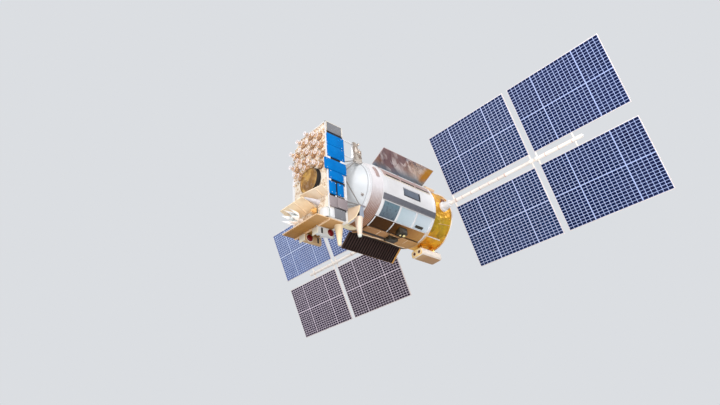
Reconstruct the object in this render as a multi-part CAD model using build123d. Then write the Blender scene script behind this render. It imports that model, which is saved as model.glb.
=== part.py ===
"""Navigation satellite with two deployed solar wings.

Frame, in millimetres: the origin is the centre of the launch adapter's mating face at the aft
end, +X runs along the body axis towards the antenna face, +Y towards the near wing and +Z up.
Angles round the body are in degrees, measured from +Z towards +Y.
"""

from build123d import *
from typing import NamedTuple
import math
import os

# Body, stations along X and radii
ADAPTER_LENGTH = 106
BOLT_COUNT = 12
BOLT_DIAMETER = 11
SHELL_RADIUS = 745
SHELL_LENGTH = 1631
DRUM_LENGTH = 587
DRUM_STEP = 17
RIM_WIDTH = 14
RIM_PROUD = 20
END_HOOP_WIDTH = 66
END_HOOP_PROUD = 6
ADAPTER_RADIUS = SHELL_RADIUS - 125
ADAPTER_WALL = 8
ADAPTER_FLANGE_DEPTH = 14
ADAPTER_FLANGE_WIDTH = 60
BOLT_CIRCLE_RADIUS = ADAPTER_RADIUS - 28
AFT_CAP_RADIUS = ADAPTER_RADIUS - 80
AFT_CAP_HEIGHT = 80

# Ribbed band, ring and dome at the front of the shell
RIB_COUNT = 8
RIB_PITCH = 34
RIB_DEPTH = 14
BAND_TAPER = 39
RING_RADIUS = SHELL_RADIUS - BAND_TAPER - 4
RING_WIDTH = 46
DOME_RADIUS = RING_RADIUS - 26
DOME_HEIGHT = 300

# Features sunk into or laid on the shell, placed from its aft end
WINDOW_X = (0.305, 0.627)
WINDOW_ANGLES = (82, 98)
WINDOW_DEPTH = 30
SHUTTER_DEPTH = 14
LOUVRE_X = (0.041, 0.975)
LOUVRE_ANGLES = (118, 145)
LOUVRE_DEPTH = 22
LOUVRE_PANEL_THICKNESS = 10
LOUVRE_BAR_WIDTH = 46
LOUVRE_BAYS = 3
LOUVRE_BOX_X = (0.139, 0.283)
LOUVRE_BOX_ANGLES = (137.5, 142.5)
LOUVRE_BOX_PROUD = 14
DRUM_UNIT_X = (300, 560)
DRUM_UNIT_ANGLES = (37, 47)
DRUM_UNIT_PROUD = 62
BEAM_X = (0.004, 0.988)
BEAM_ANGLES = (106.5, 116.5)
BEAM_PROUD = 22
STRIP_X = (0.06, 0.949)
STRIP_ANGLES = (57, 72.6)
STRIP_PROUD = 16
SLOT_ANGLES = (68.3, 71.6)
SLOT_DEPTH = 12
SLOT_COUNT = 3
SLOT_GAP = 60
KEEL_X = (0.044, 0.985)
KEEL_ANGLES = (168, 206)
KEEL_PROUD = 34
BELLY_RIBS_X = (0.0, 0.606, 0.94)
BELLY_RIB_ANGLES = (147, 168)
BELLY_RIB_WIDTH = 22
BELLY_RIB_PROUD = 16

# Covers that stand open on the shell
COVER_THICKNESS = 10
COVER_ROOT = 40
COVER_RIB_COUNT = 22
COVER_RIB_HEIGHT = 9
COVER_RIB_SHARE = 0.45

# Payload module behind the antenna face
MODULE_GAP = 258
MODULE_DEPTH = 460
FACE_THICKNESS = 18
MODULE_HALF_WIDTH = 550
MODULE_TOP = 1068
MODULE_BOTTOM = -1108
FACE_MARGIN = 16
CORNER_CUT_WIDTH = 300
CORNER_CUT_HEIGHT = 280

# Helical antenna elements on the face
CUP_RADIUS = 72
CUP_WALL = 5
CUP_DEPTH = 24
MAST_RADIUS = 9
MAST_LENGTH = 186
COIL_RADIUS = 50
COIL_WIRE = 9
COIL_TURNS = 4
COIL_SIDES = 8
COIL_START = 34
COIL_PITCH = 36
SPOKE_WIDTH = 8

# Front bay under the elements
INSTRUMENT_CENTRE = (70, -130)
INSTRUMENT_RADIUS = 272
INSTRUMENT_PROUD = 90
INSTRUMENT_WALL = 20
DISH_SINK = 14
AWNING_THICKNESS = 18
AWNING_SLOPE = 27.3
HOOD_REACH = (240, 180)
HOOD_Y = (-190, 566)
HOOD_FAR_CUT = 170
HOOD_ROOT_Z = -580
VISOR_REACH = 315
VISOR_Y = (-566, 180)
VISOR_NEAR_CUT = 40
VISOR_ROOT_Z = -752
ROLL_RADII = (62, 14)
ROLL_LENGTH = 330
ROLL_CENTRE = (240, -672)
CROWN_CENTRE = (-290, -838)
CROWN_RADIUS = 160
CROWN_BASE_RADIUS = 125
CROWN_DEPTH = 230
CROWN_STEM = 140
CROWN_PETALS = 8
CROWN_WALL = 12
CROWN_GAP = 86
CROWN_STEM_RADIUS = 34
DOME_UNIT_Y = 445
DOME_UNIT_RADIUS = 118
DOME_UNIT_RISE = 120
FITTING_Y = (115, 205)
FITTING_Z = (-875, -785)
FITTING_PROUD = 60
FITTING_NOZZLE_RADIUS = 30
FITTING_NOZZLE_LENGTH = 50

# Lower deck, its rib, sensors and post
DECK_REACH = 285
DECK_LENGTH = 645
DECK_Y = (-545, 520)
DECK_THICKNESS = 18
DECK_RIB_WIDTH = 25
DECK_RIB_HEIGHT = 26
DECK_RIB_SETBACK = 10
SENSOR_HEIGHT = 152
SENSOR_MIDDLE = 66
SENSOR_DEPTH = 72
SENSOR_CAP_RADIUS = 73
SENSOR_CAP_PROUD = 18
SENSOR_SLOT = (38, 108, 12)
POST_PLACE = (-362, 380)
POST_LENGTH = 410
POST_RADII = (32, 85)

# Struts between the front ring and the payload module
NODE_ANGLE = 140
NODE_AHEAD = 128
STRUT_RADIUS = 12
STRUT_HEIGHTS = (-110, -640, -745)
FOOT_STRUT_HEIGHTS = (270, 50)
CROSS_STRUT_RADIUS = 16
CROSS_STRUT_ANGLE = 26.6
CROSS_STRUT_END = (430, 800)
ROD_RADIUS = 18
ROD_HEIGHTS = (896, 520)
ROD_SPREAD = 15
BRACKET_ANGLE = 40
THRUSTER_AHEAD = 158
THRUSTER_HEIGHTS = (120, 300)
THRUSTER_Y = (55, 95)
THRUSTER_RADIUS = 30
GUSSET_Y = 456
GUSSET_THICKNESS = 14
GUSSET_BACK_Z = (3, 318)
GUSSET_STEP = (269, 259)
GUSSET_EDGE = (158, 448)
HORN_LENGTH = 414
HORN_RADII = (38, 92)
HORN_TOP = 318
HORN_INSET = 76
HORN_BEHIND = 14
HORN_MOUNT_X = (28, 158)
HORN_MOUNT_DEPTH = 96

# Rounded case under the drum
AFT_CASE_LENGTH = 652
AFT_CASE_SETBACK = 6
AFT_CASE_Y = (-60, 252)
AFT_CASE_HEIGHT = 164
AFT_CASE_DROP = 152
AFT_CASE_CORNER = 38
AFT_CASE_ROLL = 5
AFT_CASE_HOLE_RADIUS = 34
AFT_CASE_HOLE_DEPTH = 60
AFT_CASE_HOLE_Y = 70
AFT_BRACKET_WIDTH = 70
AFT_BRACKET_DEPTH = 120
AFT_BRACKET_ROOT = 90
AFT_BRACKET_SHARES = (0.2, 0.75)

# Wings, with u along the boom, v across it in the panels' plane and n out of the cell side
WING_AXIS_X = 380
WING_AXIS_Z = 43
WING_TILT = 21.9
PANEL_INNER_GAP = 137
PANEL_HEIGHT = 1431
INNER_LENGTH = 2025
OUTER_LENGTH = 2004
PANEL_JOINT_GAP = 114
PANEL_THICKNESS = 24
CELL_SHEET_THICKNESS = 4
CELL_SHEET_MARGIN = 14
BOOM_RADIUS = 38
OUTER_BOOM_RADIUS = 40
COLLAR_RADIUS = 46
ARM_RADIUS = 17
OUTER_ARM_SHARE = 0.409
END_ROD_RADIUS = 33
END_ROD_LENGTH = 14
END_ROD_START = 155

# Hinge in the boom: lug on the inner half, two cheeks and a pin on the outer half
FOLD_AXIS_N = -85
LUG_WIDTH = 30
KNUCKLE_RADIUS = 22
PIN_RADIUS = 10
CHEEK_WIDTH = 16
CHEEK_GAP = 5
HINGE_SHOULDER = 19
HINGE_COLLAR = 21
HINGE_SWING = (51, 21)
PIN_CLEARANCE = 0.08

# Solar drives
HOUSING_RADIUS = 86
HOUSING_LENGTH = 212
HOUSING_FOOT = 34
HOUSING_ROOT = 128
SHAFT_RADIUS = 38
SHAFT_CLEARANCE = 0.08
SHAFT_DEPTH = 120
SHAFT_END_GAP = 5
ROTOR_GAP = 6
ROTOR_COLLAR = 40
ROTOR_TO_PANEL = 101

# Cut tools reach this far past what they cut
PAST = 10
FAR_PAST = 2000

DRUM_RADIUS = SHELL_RADIUS - DRUM_STEP
DRUM_START = ADAPTER_LENGTH
SHELL_START = DRUM_START + DRUM_LENGTH
BAND_START = SHELL_START + SHELL_LENGTH
RING_START = BAND_START + RIB_COUNT * RIB_PITCH
RING_MIDDLE = RING_START + RING_WIDTH / 2
DOME_START = RING_START + RING_WIDTH
MODULE_BACK_X = DOME_START + DOME_HEIGHT + MODULE_GAP
FACE_BACK_X = MODULE_BACK_X + MODULE_DEPTH - FACE_THICKNESS
FACE_X = FACE_BACK_X + FACE_THICKNESS
DECK_BOTTOM = MODULE_BOTTOM - DECK_THICKNESS
DECK_FRONT = FACE_X + DECK_REACH
HOUSING_END = DRUM_RADIUS + HOUSING_LENGTH
INNER_START = HOUSING_END + ROTOR_GAP + ROTOR_TO_PANEL
INNER_END = INNER_START + INNER_LENGTH
OUTER_START = INNER_END + PANEL_JOINT_GAP
FOLD_AXIS_U = (INNER_END + OUTER_START) / 2
OUTER_ARM_U = OUTER_START + OUTER_ARM_SHARE * OUTER_LENGTH

PARTS = {}


class SideUnit(NamedTuple):
    """Flat unit on the module's near side, placed from the antenna face backwards."""
    node: str
    behind: tuple
    z: tuple
    proud: float


class Sensor(NamedTuple):
    """Sensor under the lower deck, placed from the antenna face."""
    x: tuple
    face_y: float
    cap_x: float
    slot_x: float


class Element(NamedTuple):
    """Place of a helical element on the antenna face."""
    y: float
    z: float


class BellyUnit(NamedTuple):
    """Dark unit under the shell: shares of the shell's length, y, and how far it hangs down."""
    shares: tuple
    y: tuple
    drop: float


class Cover(NamedTuple):
    """Open cover: shares of the shell's length, hinge angle, width and tilt."""
    node: str
    x: tuple
    hinge_angle: float
    width: float
    tilt: float


SIDE_UNITS = [
    SideUnit("side_box_top", (6, 410), (848, 1068), 26),
    SideUnit("side_radiators", (0, 448), (524, 790), 30),
    SideUnit("side_radiators", (0, 448), (240, 516), 30),
    SideUnit("side_radiators", (-74, 470), (-70, 177), 34),
    SideUnit("side_radiators", (20, 388), (-270, -78), 30),
    SideUnit("side_radiators", (6, 172), (-604, -332), 30),
    SideUnit("side_radiators", (220, 372), (-592, -326), 30),
    SideUnit("side_cases", (0, 180), (-884, -658), 36),
    SideUnit("side_cases", (190, 440), (-868, -646), 36),
    SideUnit("side_plate_white", (0, 112), (-1104, -926), 22),
    SideUnit("side_plate_grey", (120, 380), (-1104, -900), 28),
]

SENSORS = [
    Sensor((-410, 12), -200, -115, -325),
    Sensor((-402, 12), 200, -305, -100),
]

ELEMENTS = [
    Element(105, 945), Element(-150, 880), Element(-385, 700), Element(-400, 385),
    Element(-275, 150), Element(-60, 235), Element(170, 245), Element(370, 110),
    Element(420, 330), Element(400, 560), Element(370, 790), Element(160, 710),
    Element(-80, 640), Element(-165, 430), Element(165, 470),
]

COVERS = [
    Cover("foil_cover", (0.004, 0.985), 36, 455, 61),
    Cover("ribbed_cover", (0.004, 0.979), 213, 412, 229),
]

# Side of the thruster bracket: along from the dome's base, height over its foot
BRACKET_OUTLINE = [(13, -56), (13, 64), (38, 64), (43, 123), (147, 385), (218, 385), (218, -56)]
BRACKET_Y = (-25, 60)
BRACKET_POCKET = [(82, 110), (176, 340), (196, 340), (196, 110)]
BRACKET_POCKET_DEPTH = 8
BRACKET_BOX = ((38, 130), (-50, 84), (90, 205))

BELLY_UNITS = [
    BellyUnit((0.39, 0.53), (250, 380), 45),
    BellyUnit((0.42, 0.58), (-20, 130), 105),
]

# Section of the crown antenna: height above its base, radius
CROWN_PROFILE = [
    (0, 0), (0, CROWN_BASE_RADIUS), (CROWN_DEPTH, CROWN_RADIUS), (CROWN_DEPTH, CROWN_RADIUS - CROWN_WALL),
    (24, CROWN_BASE_RADIUS - CROWN_WALL), (24, 60), (90, 36), (90, 0),
]


def add(name, *solids):
    """Keeps solids under a node name, after those the node already has."""
    PARTS.setdefault(name, []).extend(solids)


def block(x, y, z):
    """Box between two coordinates on each axis."""
    size = [high - low for low, high in (x, y, z)]
    middle = [(low + high) / 2 for low, high in (x, y, z)]
    return Pos(*middle) * Box(*size)


def tube_x(radius, x, y=0, z=0, bore=0):
    """Cylinder along X between two stations, with an optional bore."""
    length = x[1] - x[0]
    body = Cylinder(radius, length)
    if bore:
        body -= Cylinder(bore, length)
    return Pos((x[0] + x[1]) / 2, y, z) * Rot(0, 90, 0) * body


def bar_y(radius, y, x=0, z=0):
    """Cylinder along Y between two coordinates."""
    return Pos(x, (y[0] + y[1]) / 2, z) * Rot(90, 0, 0) * Cylinder(radius, y[1] - y[0])


def revolve_x(profile):
    """Turns an outline of (station, radius) points round the X axis."""
    points = [(x, 0, r) for x, r in profile]
    return revolve(make_face(Polyline(*points, close=True)), Axis.X, 360)


def rod(start, end, radius):
    """Round bar between two points."""
    path = Vector(*end) - Vector(*start)
    plane = Plane(origin=Vector(*start), z_dir=path)
    return plane * Pos(0, 0, path.length / 2) * Cylinder(radius, path.length)


def on_ring(x, radius, angle):
    """Point at a station, radius and angle round the body axis."""
    turn = math.radians(angle)
    return (x, radius * math.sin(turn), radius * math.cos(turn))


def on_shell(shares):
    """Stations on the shell from shares of its length."""
    return tuple(SHELL_START + share * SHELL_LENGTH for share in shares)


def sector(x, angles, inner, outer):
    """Curved plate round the body axis, between two stations, angles and radii."""
    low, high = angles
    middle = (low + high) / 2
    start = Line(on_ring(x[0], outer, low), on_ring(x[0], inner, low))
    inner_arc = ThreePointArc(*[on_ring(x[0], inner, a) for a in (low, middle, high)])
    end = Line(on_ring(x[0], inner, high), on_ring(x[0], outer, high))
    outer_arc = ThreePointArc(*[on_ring(x[0], outer, a) for a in (high, middle, low)])
    face = make_face(Curve() + [start, inner_arc, end, outer_arc])
    return extrude(face, amount=x[1] - x[0], dir=(1, 0, 0))


def make_adapter():
    """Launch adapter: a ring of channel section with the bolt circle in its mating flange."""
    inner = ADAPTER_RADIUS - ADAPTER_FLANGE_WIDTH
    web = inner + ADAPTER_WALL
    far_flange = ADAPTER_LENGTH - ADAPTER_FLANGE_DEPTH
    ring = revolve_x([
        (0, inner), (0, ADAPTER_RADIUS), (ADAPTER_FLANGE_DEPTH, ADAPTER_RADIUS), (ADAPTER_FLANGE_DEPTH, web),
        (far_flange, web), (far_flange, ADAPTER_RADIUS), (ADAPTER_LENGTH, ADAPTER_RADIUS),
        (ADAPTER_LENGTH, inner),
    ])
    for i in range(BOLT_COUNT):
        x, y, z = on_ring(ADAPTER_FLANGE_DEPTH / 2, BOLT_CIRCLE_RADIUS, 360 * (i + 0.5) / BOLT_COUNT)
        ring -= tube_x(BOLT_DIAMETER / 2, (-1, ADAPTER_FLANGE_DEPTH + 1), y, z)
    add("launch_adapter", ring)
    sphere = (AFT_CAP_RADIUS ** 2 + AFT_CAP_HEIGHT ** 2) / (2 * AFT_CAP_HEIGHT)
    cap = Pos(DRUM_START - AFT_CAP_HEIGHT + sphere, 0, 0) * Sphere(sphere)
    add("aft_cap", cap & tube_x(AFT_CAP_RADIUS, (0, DRUM_START)))


def make_body():
    """Drum, shell with its sunk places, ribbed band, ring and front dome."""
    add("gold_drum", tube_x(DRUM_RADIUS, (DRUM_START, SHELL_START)))
    add("end_hoops", tube_x(DRUM_RADIUS + RIM_PROUD, (DRUM_START, DRUM_START + RIM_WIDTH), bore=DRUM_RADIUS))

    shell = tube_x(SHELL_RADIUS, (SHELL_START, BAND_START))
    window = on_shell(WINDOW_X)
    shell -= sector(window, WINDOW_ANGLES, SHELL_RADIUS - WINDOW_DEPTH, SHELL_RADIUS + PAST)
    shell -= sector(on_shell(LOUVRE_X), LOUVRE_ANGLES, SHELL_RADIUS - LOUVRE_DEPTH, SHELL_RADIUS + PAST)
    add("thermal_shell", shell)
    floor = SHELL_RADIUS - WINDOW_DEPTH
    add("window_shutter", sector(window, WINDOW_ANGLES, floor, floor + SHUTTER_DEPTH))
    hoop_x = (SHELL_START, SHELL_START + END_HOOP_WIDTH)
    crest = SHELL_RADIUS + END_HOOP_PROUD
    x0, x1 = hoop_x
    hoop = revolve_x([(x0, SHELL_RADIUS), (x0, crest), (x1, crest), (x1, SHELL_RADIUS)])
    add("end_hoops", hoop - sector(hoop_x, BEAM_ANGLES, SHELL_RADIUS - PAST, SHELL_RADIUS + BEAM_PROUD))

    band = [(BAND_START, 0), (BAND_START, SHELL_RADIUS)]
    for i in range(RIB_COUNT):
        x = BAND_START + i * RIB_PITCH
        crest = SHELL_RADIUS - BAND_TAPER * (i + 1) / RIB_COUNT
        band += [
            (x + 0.25 * RIB_PITCH, crest - RIB_DEPTH), (x + 0.55 * RIB_PITCH, crest - RIB_DEPTH),
            (x + 0.8 * RIB_PITCH, crest), (x + RIB_PITCH, crest),
        ]
    band.append((RING_START, 0))
    add("ribbed_band", revolve_x(band))
    add("front_ring", tube_x(RING_RADIUS, (RING_START, DOME_START)))
    sphere = (DOME_RADIUS ** 2 + DOME_HEIGHT ** 2) / (2 * DOME_HEIGHT)
    crown = DOME_START + DOME_HEIGHT
    half = math.asin(DOME_RADIUS / sphere) / 2
    shoulder = (crown - sphere * (1 - math.cos(half)), 0, sphere * math.sin(half))
    arc = ThreePointArc((DOME_START, 0, DOME_RADIUS), shoulder, (crown, 0, 0))
    base = Polyline((crown, 0, 0), (DOME_START, 0, 0), (DOME_START, 0, DOME_RADIUS))
    add("front_dome", revolve(make_face(Curve() + [arc, base]), Axis.X, 360))


def make_shell_fittings():
    """Louvre panels and bars, beam, slotted strip, keel and belly ribs."""
    floor = SHELL_RADIUS - LOUVRE_DEPTH
    start, end = on_shell(LOUVRE_X)
    pitch = (end - start) / LOUVRE_BAYS
    for i in range(LOUVRE_BAYS):
        x0 = start + i * pitch
        x1 = x0 + pitch - LOUVRE_BAR_WIDTH
        node = "louvre_panel_dark" if i == LOUVRE_BAYS - 1 else "louvre_panels_light"
        add(node, sector((x0, x1), LOUVRE_ANGLES, floor, floor + LOUVRE_PANEL_THICKNESS))
        add("shell_bars", sector((x1, x0 + pitch), LOUVRE_ANGLES, floor, SHELL_RADIUS + END_HOOP_PROUD))
    add("shell_beam", sector(on_shell(BEAM_X), BEAM_ANGLES, SHELL_RADIUS, SHELL_RADIUS + BEAM_PROUD))

    strip_x = on_shell(STRIP_X)
    top = SHELL_RADIUS + STRIP_PROUD
    strip = sector(strip_x, STRIP_ANGLES, SHELL_RADIUS, top)
    slot_length = (strip_x[1] - strip_x[0] - SLOT_GAP * (SLOT_COUNT + 1)) / SLOT_COUNT
    for i in range(SLOT_COUNT):
        x0 = strip_x[0] + SLOT_GAP + i * (slot_length + SLOT_GAP)
        strip -= sector((x0, x0 + slot_length), SLOT_ANGLES, top - SLOT_DEPTH, top + PAST)
    add("slotted_strip", strip)
    keel = sector(on_shell(KEEL_X), KEEL_ANGLES, SHELL_RADIUS, SHELL_RADIUS + KEEL_PROUD)
    add("keel_panel", keel)
    for x in on_shell(BELLY_RIBS_X):
        rib_x = (x + END_HOOP_WIDTH, x + END_HOOP_WIDTH + BELLY_RIB_WIDTH)
        rib = sector(rib_x, BELLY_RIB_ANGLES, SHELL_RADIUS, SHELL_RADIUS + BELLY_RIB_PROUD)
        add("shell_bars", rib)


def make_covers():
    """The two open covers, the lower one with ribs across its outer side."""
    hoop_x = (SHELL_START, SHELL_START + END_HOOP_WIDTH)
    for cover in COVERS:
        x0, x1 = on_shell(cover.x)
        length = x1 - x0
        turn = math.radians(cover.tilt)
        along = Vector(0, math.sin(turn), math.cos(turn))
        hinge = on_ring(x0, SHELL_RADIUS + COVER_THICKNESS, cover.hinge_angle)
        plane = Plane(origin=hinge, x_dir=(1, 0, 0), z_dir=Vector(1, 0, 0).cross(along))
        plate = Pos(length / 2, (cover.width - COVER_ROOT) / 2, 0)
        plate *= Box(length, cover.width + COVER_ROOT, COVER_THICKNESS)
        if cover.node == "ribbed_cover":
            pitch = length / COVER_RIB_COUNT
            depth = COVER_RIB_HEIGHT + COVER_THICKNESS
            rib = Box(COVER_RIB_SHARE * pitch, cover.width - COVER_THICKNESS, depth)
            for i in range(COVER_RIB_COUNT):
                plate += Pos((i + 0.5) * pitch, cover.width / 2, COVER_RIB_HEIGHT / 2) * rib
        plate = plane * plate - tube_x(SHELL_RADIUS, (x0 - PAST, x1 + PAST))
        add(cover.node, plate - tube_x(SHELL_RADIUS + END_HOOP_PROUD, hoop_x))


def module_prism(x, half_width, top, grow=0):
    """Module section between two stations, with the far upper corner cut off."""
    outline = Polyline(
        (half_width, MODULE_BOTTOM), (half_width, top), (-half_width + CORNER_CUT_WIDTH + grow / 2, top),
        (-half_width, top - CORNER_CUT_HEIGHT - grow / 2), (-half_width, MODULE_BOTTOM), close=True,
    )
    plane = Plane(origin=(x[0], 0, 0), x_dir=(0, 1, 0), z_dir=(1, 0, 0))
    return extrude(plane * make_face(outline), amount=x[1] - x[0])


def make_payload():
    """Payload box, antenna face and the flat units on its near side."""
    add("payload_box", module_prism((MODULE_BACK_X, FACE_BACK_X), MODULE_HALF_WIDTH, MODULE_TOP))
    face_x = (FACE_BACK_X, FACE_X)
    face = module_prism(face_x, MODULE_HALF_WIDTH + FACE_MARGIN, MODULE_TOP + FACE_MARGIN, FACE_MARGIN)
    add("antenna_face", face)
    for unit in SIDE_UNITS:
        x = (FACE_X - unit.behind[1], FACE_X - unit.behind[0])
        add(unit.node, block(x, (MODULE_HALF_WIDTH, MODULE_HALF_WIDTH + unit.proud), unit.z) - face)


def helical_element():
    """One element on the X axis: cup, mast, coil of straight runs and the spokes that hold it."""
    wall = CUP_RADIUS - CUP_WALL
    element = revolve_x([
        (0, 0), (0, CUP_RADIUS - CUP_DEPTH / 2), (CUP_DEPTH, CUP_RADIUS), (CUP_DEPTH, wall),
        (CUP_WALL, wall - CUP_DEPTH / 2), (CUP_WALL, MAST_RADIUS), (MAST_LENGTH, MAST_RADIUS),
        (MAST_LENGTH, 0),
    ])
    points = []
    for i in range(COIL_TURNS * COIL_SIDES + 1):
        turn = 2 * math.pi * i / COIL_SIDES
        x = COIL_START + COIL_PITCH * i / COIL_SIDES
        points.append((x, COIL_RADIUS * math.cos(turn), COIL_RADIUS * math.sin(turn)))
    path = Polyline(*points)
    section = Plane(origin=points[0], z_dir=path % 0) * Rectangle(COIL_WIRE, COIL_WIRE)
    element += sweep(section, path=path, transition=Transition.RIGHT)
    for i in range(COIL_TURNS + 1):
        x = COIL_START + i * COIL_PITCH
        element += block((x - SPOKE_WIDTH / 2, x + SPOKE_WIDTH / 2), (0, COIL_RADIUS),
                         (-SPOKE_WIDTH / 2, SPOKE_WIDTH / 2))
    return element


def awning(reach, y, root_z):
    """Plate that slopes up and out of the antenna face."""
    rise = reach * math.tan(math.radians(AWNING_SLOPE))
    plane = Plane(origin=(0, y[1], 0), x_dir=(1, 0, 0), z_dir=(0, -1, 0))
    outline = Polyline(
        (FACE_X, root_z), (FACE_X + reach, root_z + rise), (FACE_X + reach, root_z + rise - AWNING_THICKNESS),
        (FACE_X, root_z - AWNING_THICKNESS), close=True,
    )
    return extrude(plane * make_face(outline), amount=y[1] - y[0])


def prism_z(*corners):
    """Tall cutting tool with the given corners in x and y."""
    outline = make_face(Polyline(*corners, close=True))
    return extrude(Pos(0, 0, -FAR_PAST) * outline, amount=2 * FAR_PAST)


def make_front():
    """Helical elements, round instrument, hood, visor, roll, crown antenna, dome and fitting."""
    element = helical_element()
    add("antenna_elements", *[Pos(FACE_X, place.y, place.z) * element for place in ELEMENTS])

    hood = awning(HOOD_REACH[0], HOOD_Y, HOOD_ROOT_Z)
    tip = (FACE_X + HOOD_REACH[0], HOOD_Y[0] + HOOD_FAR_CUT)
    beyond = FACE_X + 2 * HOOD_REACH[0]
    hood -= prism_z((FACE_X + HOOD_REACH[1], HOOD_Y[1]), tip, (beyond, tip[1]), (beyond, HOOD_Y[1]))
    hood -= prism_z((FACE_X, HOOD_Y[0]), tip, (tip[0], HOOD_Y[0]))
    add("instrument_hood", hood)

    y, z = INSTRUMENT_CENTRE
    front = FACE_X + INSTRUMENT_PROUD
    bore = INSTRUMENT_RADIUS - INSTRUMENT_WALL
    case = tube_x(INSTRUMENT_RADIUS, (FACE_X, front), y, z)
    case -= tube_x(bore, (FACE_X + INSTRUMENT_WALL, front), y, z)
    add("instrument_case", case)
    add("instrument_dish", tube_x(bore, (FACE_X + INSTRUMENT_WALL, front - DISH_SINK), y, z))

    visor = awning(VISOR_REACH, VISOR_Y, VISOR_ROOT_Z)
    reach = FACE_X + VISOR_REACH
    near_cut = prism_z((FACE_X, VISOR_Y[1]), (reach, VISOR_Y[1] - VISOR_NEAR_CUT), (reach, VISOR_Y[1]))
    add("visor_plate", visor - near_cut)
    roll = Pos(FACE_X + ROLL_LENGTH / 2, *ROLL_CENTRE) * Rot(0, 90, 0) * Cone(*ROLL_RADII, ROLL_LENGTH)
    add("roll_unit", roll)

    crown = revolve_x(CROWN_PROFILE)
    for i in range(CROWN_PETALS):
        gap = Pos(CROWN_DEPTH, 0, CROWN_RADIUS) * Rot(0, 0, 45) * Box(CROWN_GAP, CROWN_GAP, CROWN_RADIUS)
        crown -= Rot(360 * (i + 0.5) / CROWN_PETALS, 0, 0) * gap
    crown += tube_x(CROWN_STEM_RADIUS, (-CROWN_STEM, 0))
    add("crown_antenna", Pos(FACE_X + CROWN_STEM, *CROWN_CENTRE) * crown)

    radius = DOME_UNIT_RADIUS
    dome = Pos(FACE_X, DOME_UNIT_Y, MODULE_BOTTOM + DOME_UNIT_RISE) * Sphere(radius)
    dome += Pos(FACE_X, DOME_UNIT_Y, MODULE_BOTTOM + DOME_UNIT_RISE / 2) * Cylinder(radius, DOME_UNIT_RISE)
    front_half = block((FACE_X, FACE_X + radius), (DOME_UNIT_Y - radius, DOME_UNIT_Y + radius),
                       (MODULE_BOTTOM, MODULE_BOTTOM + DOME_UNIT_RISE + radius))
    add("dome_unit", dome & front_half)
    fitting = block((FACE_X, FACE_X + FITTING_PROUD), FITTING_Y, FITTING_Z)
    nozzle = (FACE_X + FITTING_PROUD, FACE_X + FITTING_PROUD + FITTING_NOZZLE_LENGTH)
    fitting += tube_x(FITTING_NOZZLE_RADIUS, nozzle, sum(FITTING_Y) / 2, sum(FITTING_Z) / 2)
    add("gold_fitting", fitting)


def make_deck():
    """Lower deck with its rib, the capped sensors and the post."""
    deck = block((DECK_FRONT - DECK_LENGTH, DECK_FRONT), DECK_Y, (DECK_BOTTOM, MODULE_BOTTOM))
    rib_end = FACE_X - DECK_RIB_SETBACK
    deck += block((rib_end - DECK_RIB_WIDTH, rib_end), DECK_Y, (DECK_BOTTOM - DECK_RIB_HEIGHT, DECK_BOTTOM))
    add("lower_deck", deck)
    top = DECK_BOTTOM - DECK_RIB_HEIGHT
    middle = top - SENSOR_MIDDLE
    width, height, depth = SENSOR_SLOT
    for sensor in SENSORS:
        face = sensor.face_y
        x = (FACE_X + sensor.x[0], FACE_X + sensor.x[1])
        slot_x = FACE_X + sensor.slot_x
        body = block(x, (face - SENSOR_DEPTH, face), (top - SENSOR_HEIGHT, top))
        body += block(x, (face - SENSOR_DEPTH / 2, face - SENSOR_DEPTH / 4), (top, DECK_BOTTOM)) \
            - block((rib_end - DECK_RIB_WIDTH, rib_end), (face - SENSOR_DEPTH, face), (top, DECK_BOTTOM))
        body -= block((slot_x - width / 2, slot_x + width / 2), (face - depth, face),
                      (middle - height / 2, middle + height / 2))
        add("sensor_boxes", body)
        cap_y = (face, face + SENSOR_CAP_PROUD)
        add("sensor_caps", bar_y(SENSOR_CAP_RADIUS, cap_y, FACE_X + sensor.cap_x, middle))
    post = Pos(FACE_X + POST_PLACE[0], POST_PLACE[1], DECK_BOTTOM - POST_LENGTH / 2)
    add("deck_post", post * Cone(POST_RADII[0], POST_RADII[1], POST_LENGTH))


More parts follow.
